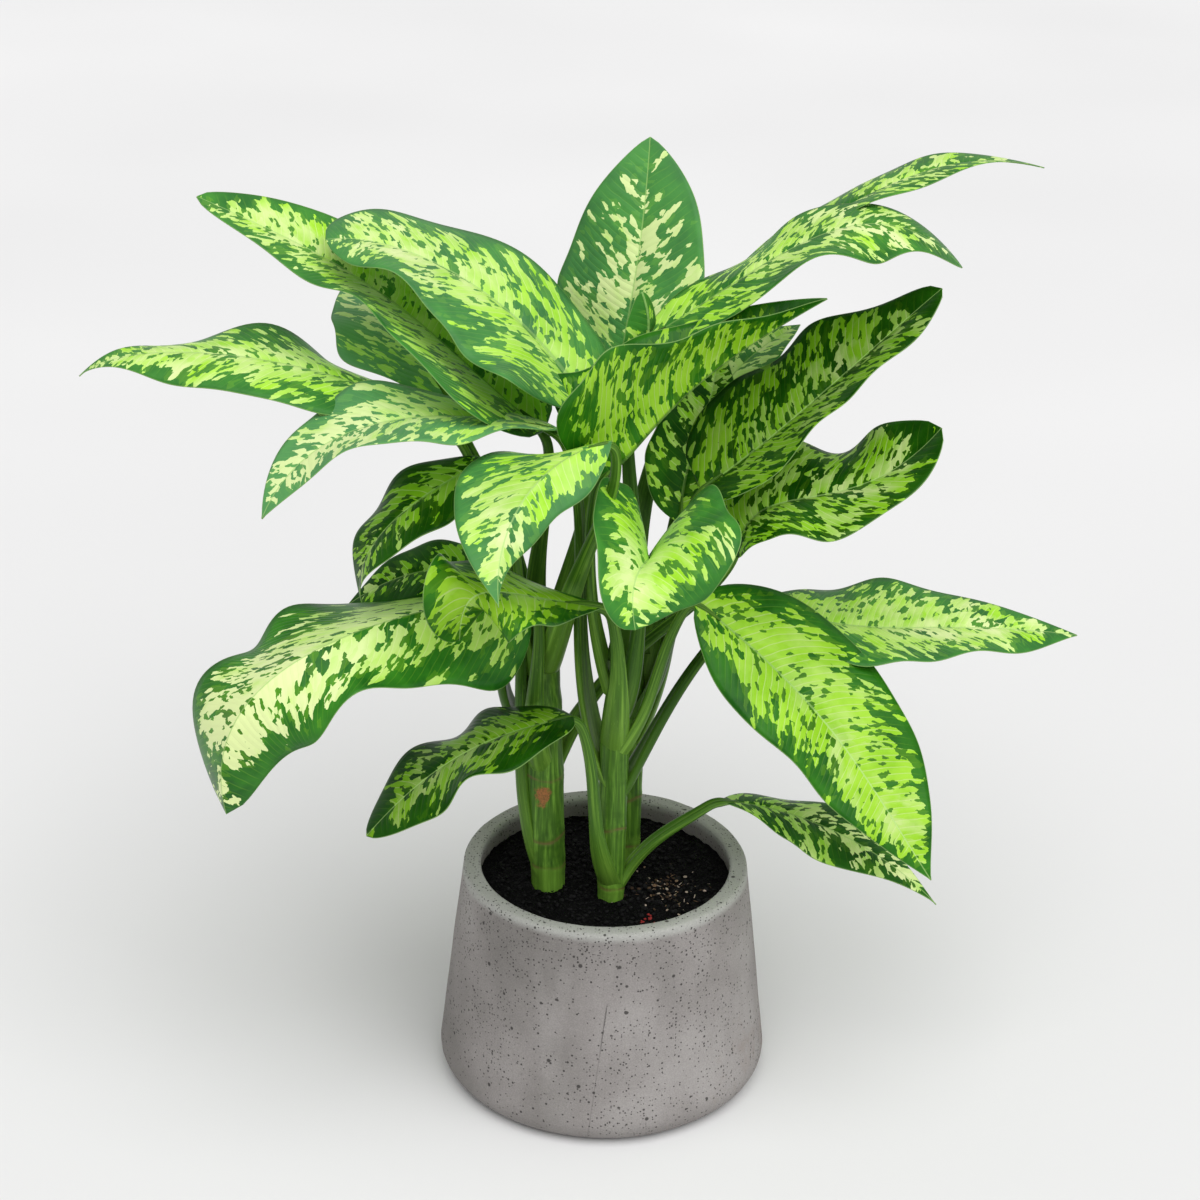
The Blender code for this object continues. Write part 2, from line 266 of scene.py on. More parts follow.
def cells_of(tree, place, scale):
    """A scatter of cells: the distance to the middle of each, and three random numbers."""
    made = node_of(tree, "ShaderNodeTexVoronoi", {"Vector": place, "Scale": scale}).outputs
    return made["Distance"], parts_of(tree, made["Color"])


def pits(tree, place, scale, share, speckle):
    """Round air holes with ragged edges, in this share of the cells of a scatter."""
    distance, luck = cells_of(tree, place, scale)
    size = scaled(tree, speckle, 0.20, scaled(tree, luck["Y"], 0.16, 0.12))
    hole = step(tree, distance, size, times(tree, size, 0.6))
    return times(tree, hole, maths(tree, "LESS_THAN", luck["X"], share))


def crack(tree, place, speckle):
    """The hairline that runs from the middle of the front down to the foot, leaning left."""
    x, y, z = parts_of(tree, place)
    off = scaled(tree, z, -CRACK_LEAN, maths(tree, "SUBTRACT", x, CRACK_FOOT))
    off = scaled(tree, speckle, CRACK_SLACK, maths(tree, "SUBTRACT", off, CRACK_SLACK / 2))
    hair = step(tree, maths(tree, "ABSOLUTE", off), 0.00055, 0.0002)
    hair = times(tree, hair, maths(tree, "LESS_THAN", y, 0.0))
    deep = step(tree, z, CRACK_FAINT, CRACK_THIN, 0.35, 1)
    return times(tree, hair, times(tree, step(tree, z, CRACK_TOP, CRACK_DEEP), deep))


def concrete():
    material, tree, shader = new_material("cast_concrete", Specular_IOR_Level=0.3)
    place = place_on(tree)
    height = parts_of(tree, place)["Z"]

    # Cloudy grey, with damp and pale runs down the wall and a few rusty stains.
    cloud = grains(tree, place, 8, 4, 0.55)
    colour = ramp(tree, cloud, (0.32, CONCRETE_DAMP), (0.50, CONCRETE_GREY), (0.72, CONCRETE_PALE))
    runs = grains(tree, stretched(tree, place, (20, 20, 5)), 1, 3, 0.6)
    colour = tinted(tree, colour, CONCRETE_DAMP, runs, 0.50, 0.72, 0.35)
    colour = tinted(tree, colour, CONCRETE_PALE, runs, 0.46, 0.30, 0.30)
    rust = grains(tree, stretched(tree, place, (14, 14, 9)), 1, 4, 0.65)
    colour = tinted(tree, colour, STAIN_BROWN, rust, 0.62, 0.75, 0.5)

    # The rim top is painted paler than the wall, as painted light where the top catches more light,
    # and the wall is darker towards the foot.
    ragged_height = scaled(tree, cloud, 0.010, height)
    colour = tinted(tree, colour, RIM_GREY, ragged_height, POT_HEIGHT - 0.004, POT_HEIGHT + 0.002, 0.85)
    colour = tinted(tree, colour, CONCRETE_DAMP, height, 0.030, 0.004, 0.45)

    # Sand, and pits that crowd towards the rim.
    speckle = grains(tree, place, 1000, 3, 0.7)
    sand = ramp(tree, speckle, (0.30, SAND_DARK), (0.70, SAND_LIGHT))
    colour = blend(tree, 0.6, colour, sand, "OVERLAY")
    crowd = step(tree, grains(tree, place, 22, 2), 0.35, 0.65, 0.10, 0.45)
    crowd = maths(tree, "ADD", crowd, step(tree, ragged_height, POT_HEIGHT - 0.045, POT_HEIGHT, 0, 0.34))
    holes = times(tree, crack(tree, place, speckle), 0.7)
    for scale, share in ((480, crowd), (340, 0.16), (190, 0.05)):
        holes = maths(tree, "MAXIMUM", holes, pits(tree, place, scale, share, speckle))
    colour = blend(tree, times(tree, holes, 0.85), colour, PIT_DARK)

    roughness = step(tree, speckle, 0.2, 0.8, 0.72, 0.95)
    relief = maths(tree, "SUBTRACT", scaled(tree, speckle, 0.35, times(tree, cloud, 0.5)), holes)
    finish_surface(tree, shader, colour, roughness, relief, 0.0004, 0.7)
    return material


finished("concrete_pot", cast_pot(), concrete(), "pot")


# ---- The potting mix ------------------------------------------------------------------------
# Damp black peat, filled to just under the rim, with small heaps and hollows. Bark crumbs, coir
# threads, pale chips and some red ones lie loose on it.

SOIL_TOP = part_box("soil")[1].z
SOIL_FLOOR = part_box("soil")[0].z
SOIL_SETTLING = 0.0006
SOIL_STEPS = 200
SOIL_RINGS = 60
# How high the heaps and the lumps are, and how many to the metre.
HEAP_HEIGHT, HEAPS = 0.0011, 40
LUMP_HEIGHT, LUMPS = 0.0016, 190
# How far the mix drops towards the wall, and from which share of its radius.
EDGE_FALL, EDGE_START = 0.003, 0.80
CRUMBS = 1100
CRUMB_REACH = 0.083
CHIPS_PLACE, CHIPS_SPREAD = (0.044, -0.022), (0.012, 0.014)
RED_PLACE, RED_SPREAD, RED_SIZE = (0.031, -0.060), (0.005, 0.003), 0.0013

PEAT_BLACK = (0.0016, 0.0015, 0.0017, 1)
PEAT_GREY = (0.014, 0.0135, 0.0145, 1)
BARK_BROWN = (0.060, 0.036, 0.022, 1)
BARK_TAN = (0.24, 0.15, 0.09, 1)
CHIP_PALE = (0.60, 0.50, 0.42, 1)
CHIP_RED = (0.36, 0.035, 0.035, 1)


def soil_height(x, y):
    """Heaps and hollows, finer lumps on them, and the fall to the pot's wall."""
    spot = Vector((x, y, 0.37))
    heaps = HEAP_HEIGHT * noise.fractal(spot * HEAPS, 1, 2, 2)
    lumps = LUMP_HEIGHT * noise.fractal(spot * LUMPS, 0.7, 2.1, 3)
    edge = max(0, math.hypot(x, y) / inner_radius(SOIL_TOP) - EDGE_START) / (1 - EDGE_START)
    fall = EDGE_FALL * edge
    return SOIL_TOP - SOIL_SETTLING + heaps + lumps - fall


def fill_soil():
    edge = inner_radius(SOIL_TOP) - 0.0002
    profile = [(0, SOIL_TOP), *line((0, SOIL_TOP), (edge, SOIL_TOP), SOIL_RINGS)]
    profile += [(edge, SOIL_TOP), (inner_radius(SOIL_FLOOR) - 0.0003, SOIL_FLOOR), (0, SOIL_FLOOR)]
    bm = turned(profile, SOIL_STEPS)
    for vertex in bm.verts:
        if vertex.co.z > SOIL_TOP - 0.001:
            vertex.co.z = soil_height(vertex.co.x, vertex.co.y)
    return bm


def scatter_crumbs():
    """Crumbs, chips and short threads, each with its colour stored as a number from 0 to 1."""
    bm = bmesh.new()
    kinds = bm.verts.layers.float.new("kind")
    luck = np.random.default_rng(5)
    for number in range(CRUMBS):
        bearing = luck.uniform(0, 2 * math.pi)
        out = CRUMB_REACH * math.sqrt(luck.random())
        x, y = out * math.cos(bearing), out * math.sin(bearing)
        kind = luck.uniform(0, 0.30)
        size = luck.uniform(0.0009, 0.0026)
        shape = (1, luck.uniform(0.5, 0.9), luck.uniform(0.3, 0.6))
        if number % 7 == 0:
            x, y = luck.normal(CHIPS_PLACE, CHIPS_SPREAD)
            kind = luck.uniform(0.3, 0.75)
            size *= 0.75
        if number % 21 == 7:
            size, shape = luck.uniform(0.0015, 0.0035), (1, 0.12, 0.10)
        if number % 90 == 8:
            x, y = luck.normal(RED_PLACE, RED_SPREAD)
            kind, size = 1, RED_SIZE
        turn = Matrix.Rotation(luck.uniform(0, 6.3), 4, "Z")
        turn @= Matrix.Rotation(luck.normal(0, 0.3), 4, "X")
        place = Matrix.Translation((x, y, soil_height(x, y) + size * shape[2] * 0.5))
        made = bmesh.ops.create_icosphere(bm, subdivisions=1, radius=size)["verts"]
        for vertex in made:
            vertex.co *= 1 + luck.normal(0, 0.12)
            vertex[kinds] = kind
        bmesh.ops.transform(bm, matrix=place @ turn @ Matrix.Diagonal((*shape, 1)), verts=made)
    return bm


def peat():
    material, tree, shader = new_material("damp_peat", Specular_IOR_Level=0.08)
    place = place_on(tree)
    lumps = grains(tree, place, 300, 5, 0.72)
    colour = ramp(tree, lumps, (0.36, PEAT_BLACK), (0.62, PEAT_GREY), (0.86, BARK_BROWN))
    distance, luck = cells_of(tree, place, 430)
    colour = tinted(tree, colour, PEAT_GREY, luck["X"], 0.70, 0.95, 0.7)
    gap = step(tree, distance, 0.20, 0.6)
    colour = blend(tree, times(tree, gap, 0.85), colour, PEAT_BLACK)
    relief = maths(tree, "SUBTRACT", lumps, times(tree, gap, 0.6))
    finish_surface(tree, shader, colour, step(tree, lumps, 0.35, 0.7, 0.55, 0.95), relief, 0.003)
    return material


def stored(tree, name, output="Vector"):
    """What the mesh keeps at each point under this name."""
    return node_of(tree, "ShaderNodeAttribute", {}, attribute_name=name).outputs[output]


def crumb():
    material, tree, shader = new_material("bark_and_chips", Specular_IOR_Level=0.15)
    colour = ramp(
        tree, stored(tree, "kind", "Fac"), (0.0, PEAT_BLACK), (0.30, PEAT_GREY),
        (0.45, BARK_BROWN), (0.58, BARK_TAN), (0.72, CHIP_PALE), (0.95, CHIP_RED),
    )
    fleck = grains(tree, place_on(tree), 1500, 2, 0.6)
    colour = tinted(tree, colour, PEAT_BLACK, fleck, 0.45, 0.7, 0.6)
    finish_surface(tree, shader, colour, step(tree, fleck, 0.3, 0.7, 0.6, 0.95), fleck, 0.0004)
    return material


finished("potting_mix", fill_soil(), peat(), "soil")
finished("loose_crumbs", scatter_crumbs(), crumb(), None)


# ---- The canes ------------------------------------------------------------------------------
# The thick green stems, rooted in the mix. Each leaf that has dropped leaves a swollen ring with
# a thin brown scar, and the left cane has an orange corky patch above its first rings.

CANE_DEPTH = 0.040
CANE_SIDES = 48
CANE_RINGS = 200
# Each scar is a swelling with a groove round its middle.
SWELL, SWELL_WIDTH = 0.0005, 0.0050
SCAR_DEPTH, SCAR_WIDTH = 0.0004, 0.0009
SCAR_COLOUR_WIDTH = 0.0010
# The top is rounded off over this length, and the green is brighter under this height.
CROWN_LENGTH = 0.060
BRIGHT_BELOW = SOIL_TOP + 0.015
CORK_RADIUS = 0.010

CANE_GREEN = (0.075, 0.185, 0.018, 1)
CANE_BRIGHT = (0.210, 0.43, 0.050, 1)
CANE_SHADE = (0.028, 0.082, 0.008, 1)
SCAR_BROWN = (0.17, 0.11, 0.045, 1)
CORK_ORANGE = (0.42, 0.17, 0.06, 1)


@dataclass
class Cane:
    """Points up the middle from the mix to the top, the radius at both ends, and its rings."""

    points: tuple
    foot_radius: float
    top_radius: float
    rings: tuple
    cork: tuple = (0, 0, 0)


CANES = {
    "left": Cane(
        (
            (-0.040, -0.015, 0.150), (-0.043, -0.010, 0.220),
            (-0.046, -0.006, 0.300), (-0.042, -0.004, 0.350),
        ),
        foot_radius=0.0118,
        top_radius=0.0155,
        rings=(0.1690, 0.1890, 0.2370),
        cork=(-0.045, -0.027, 0.2230),
    ),
    "right": Cane(
        (
            (0.004, -0.030, 0.150), (0.004, -0.028, 0.220),
            (0.005, -0.024, 0.290), (0.006, -0.021, 0.335),
        ),
        foot_radius=0.0092,
        top_radius=0.0108,
        rings=(0.1600, 0.2050),
    ),
    "rear": Cane(
        ((0.016, 0.026, 0.150), (0.017, 0.028, 0.240), (0.019, 0.029, 0.330)),
        foot_radius=0.0084,
        top_radius=0.0084,
        rings=(0.1620, 0.1980, 0.2400),
    ),
}


def on_cane(cane, height):
    """The middle of the cane at each of these heights, and its radius there."""
    points = np.array(cane.points)
    heights = points[:, 2]
    middle = np.stack([np.interp(height, heights, points[:, axis]) for axis in range(3)], axis=-1)
    share = np.interp(height, heights, np.linspace(0, 1, len(points)))
    return middle, cane.foot_radius + (cane.top_radius - cane.foot_radius) * share


def tube(sides, rings):
    """An upright tube with closed ends: its turn round the axis and its height from 0 to 1."""
    bm = bmesh.new()
    bmesh.ops.create_cone(bm, cap_ends=True, segments=sides, radius1=1, radius2=1, depth=1)
    upright = [edge for edge in bm.edges if abs(edge.verts[0].co.z - edge.verts[1].co.z) > 0.5]
    bmesh.ops.subdivide_edges(bm, edges=upright, cuts=rings, use_grid_fill=True)
    places = np.array([vertex.co for vertex in bm.verts])
    return bm, np.arctan2(places[:, 1], places[:, 0]), places[:, 2] + 0.5


def move_to(bm, places):
    for vertex, place in zip(bm.verts, places):
        vertex.co = place


def store(bm, name, *values):
    """Keeps three numbers at each vertex, for its material."""
    layer = bm.verts.layers.float_vector.new(name)
    for vertex, numbers in zip(bm.verts, np.stack(np.broadcast_arrays(*values), axis=1)):
        vertex[layer] = numbers


def bell(distance, width):
    return np.exp(-((distance / width) ** 2))


def grow_cane(cane):
    bm, turn, share = tube(CANE_SIDES, CANE_RINGS)
    low, high = cane.points[0][2] - CANE_DEPTH, cane.points[-1][2]
    height = low + (high - low) * share
    middle, radius = on_cane(cane, np.maximum(height, cane.points[0][2]))
    middle[:, 2] = height
    # The scars tilt and waver round the cane, and the cane isn't quite round.
    tilt = 0.0018 * np.sin(turn + height * 90) + 0.0008 * np.sin(3 * turn + height * 130)
    near = np.min(np.abs((height + tilt)[:, None] - np.array(cane.rings)), axis=1)
    radius = radius + SWELL * bell(near, SWELL_WIDTH) - SCAR_DEPTH * bell(near, SCAR_WIDTH)
    lobes = 1 + 0.02 * np.sin(3 * turn + height * 40) + 0.01 * np.sin(5 * turn - height * 70)
    crown = np.sqrt(np.clip((high - height) / CROWN_LENGTH, 0.02, 1))
    outward = np.stack([np.cos(turn), np.sin(turn), np.zeros_like(turn)], axis=1)
    places = middle + outward * (radius * lobes * crown)[:, None]
    move_to(bm, places)
    off = np.linalg.norm((places - cane.cork) * (1, 1, 0.6), axis=1)
    store(bm, "growth", bell(near, SCAR_COLOUR_WIDTH), bell(off, CORK_RADIUS), height)
    return bm


def cane_skin():
    material, tree, shader = new_material("cane_skin", Specular_IOR_Level=0.18)
    place = place_on(tree)
    scar, cork, height = parts_of(tree, stored(tree, "growth"))
    streaks = grains(tree, stretched(tree, place, (420, 420, 14)), 1, 3, 0.6)
    blotch = grains(tree, place, 70, 3, 0.6)
    colour = ramp(tree, streaks, (0.25, CANE_SHADE), (0.50, CANE_GREEN), (0.75, CANE_BRIGHT))
    colour = tinted(tree, colour, CANE_BRIGHT, height, BRIGHT_BELOW + 0.006, BRIGHT_BELOW, 0.45)
    colour = tinted(tree, colour, CANE_SHADE, blotch, 0.45, 0.70, 0.5)
    scar = times(tree, scar, step(tree, blotch, 0.3, 0.6, 0.1, 0.8))
    colour = blend(tree, scar, colour, SCAR_BROWN)
    patch = step(tree, maths(tree, "ADD", cork, scaled(tree, blotch, 1.2, -0.6)), 0.48, 0.66)
    crust = grains(tree, place, 900, 3, 0.7)
    cork_colour = ramp(tree, crust, (0.35, SCAR_BROWN), (0.60, CORK_ORANGE))
    colour = blend(tree, patch, colour, cork_colour)
    relief = scaled(tree, streaks, 0.5, times(tree, crust, patch))
    finish_surface(tree, shader, colour, step(tree, patch, 0, 1, 0.42, 0.85), relief, 0.0005, 0.6)
    return material


CANE_SKIN = cane_skin()
for name, cane in CANES.items():
    finished(f"green_cane_{name}", grow_cane(cane), CANE_SKIN, f"cane_{name}")


# ---- The leaf blades ------------------------------------------------------------------------
# Thin waxy blades, quilted between their side veins, with a pale midrib that stands out as a keel
# below. The variegation is living tissue: cream to yellow-green blotches drawn out along the side
# veins, mostly near the midrib, in a green ground that stays plain along the margin.

BLADE_GRID = (76, 30)
KEEL = 0.0021
SHEET_SHARE = 0.22
STATIONS = np.array([0.10, 0.30, 0.50, 0.70, 0.90])
WAVES_PER_BLADE = 2.5
WAVE_OFFSET = 0.3
BASE_HALF_WIDTH = 0.0022
TIP_HALF_WIDTH = 0.0003
STATION_WIDTH = 0.12
# The channel along the midrib: its depth and width as shares of the half width.
CHANNEL_DEPTH, CHANNEL_WIDTH = 0.05, 0.08
# The rib under it is widest at the base, and loses most of its height by the tip.
RIB_WIDTH, RIB_NARROWING, RIB_FALL = 0.0016, 0.0010, 0.8
# The side veins leave the midrib at a slant and sweep on towards the tip.
VEIN_SPACING = 0.0058
VEIN_SLANT = 0.45
VEIN_SWEEP = 5.5
# How much longer a bent blade is than the straight line between its ends.
BLADE_SLACK = 1.06
# The blotches and the flecks: the size of a cell, and how much shorter it is along the blade.
BLOTCH_SIZE, BLOTCH_STRETCH = 0.0055, 1.20
FLECK_SIZE, FLECK_STRETCH = 0.0040, 1.5
WOBBLE_ACROSS, WOBBLE_ALONG = 0.0028, 0.0026
BLOTCH_LEVEL = 0.5

LIME = (0.46, 0.86, 0.050, 1)
LIME_SHADE = (0.34, 0.72, 0.018, 1)
LIME_DEEP = (0.21, 0.54, 0.008, 1)
# Painted light, a paler bluish sheen, and painted shade, a near-black green, laid over whole
# blades.
PAINTED_SHEEN = (0.20, 0.50, 0.23, 1)
PAINTED_SHADE = (0.004, 0.030, 0.001, 1)
CREAM = (0.80, 0.93, 0.42, 1)
RIB_GREEN = (0.30, 0.52, 0.14, 1)
RIB_CREAM = (0.48, 0.74, 0.24, 1)
EDGE_PALE = (0.30, 0.50, 0.15, 1)
# For each of the record's leaf slots, the two greens that the ground runs between, how light the
# blotches are and how much the wax shines.
GROUNDS = {
    "deep": ((0.006, 0.060, 0.001, 1), (0.022, 0.135, 0.003, 1), 0.55, 0.08),
    "mid": ((0.012, 0.120, 0.003, 1), (0.045, 0.245, 0.012, 1), 1.0, 0.13),
    "pale": ((0.008, 0.110, 0.002, 1), (0.036, 0.225, 0.008, 1), 1.0, 0.18),
}


@dataclass
class Leaf:
    """A leaf, from its place on the cane to its colours. Angles are in degrees.

    Of each pair, pitch, veer, roll, cup and reach hold a value for the base of the blade and one
    for its tip. fold, halves, edges and ruffle hold one for its left half and one for its right.
    """

    cane: str
    node: float  # the height where the stalk leaves the cane
    bearing: float  # the side on which it does, as a compass angle
    base: tuple  # the ends of the blade
    tip: tuple
    width: float
    pitch: tuple  # the climb of the midrib
    veer: tuple = (0, 0)  # its turn away from the straight line between the ends
    roll: tuple = (0, 0)  # its twist
    fold: tuple = (10, 10)  # the lift of each half
    cup: tuple = (1, 1)  # how much of the fold is left at each end
    halves: tuple = (1, 1)  # the width of each half, as a share
    reach: tuple = (0.4, 0.4)  # how far the direction at each end carries
    curl: float = -15  # the bend of each half, down to its margin
    belly: float = 0.4  # where the blade is widest
    point: float = 0.95  # a smaller one gives a blunter tip
    wave: float = 0.05  # how much both margins ruffle
    rise: float = 0.4  # how far the stalk keeps to the cane's direction
    lean: float = 0.3  # how much it starts outwards
    sheath: float = 0.38  # the share of it that clasps the cane
    green: str = "mid"  # the leaf slot
    pale: float = 0.50  # how much of the blade is variegated
    cream: float = 0.35  # how light those parts are
    plain: float = 0.22  # how much the margins lack them
    painted_light: float = 0.0  # how much painted light, a paler bluish sheen, is laid over the blade, or below nothing, how far painted shade darkens it
    # What each margin gains in width and in lift at the STATIONS, as shares of the half width.
    edges: tuple = ((0, 0, 0, 0, 0), (0, 0, 0, 0, 0))
    ruffle: tuple = ((0, 0, 0, 0, 0), (0, 0, 0, 0, 0))


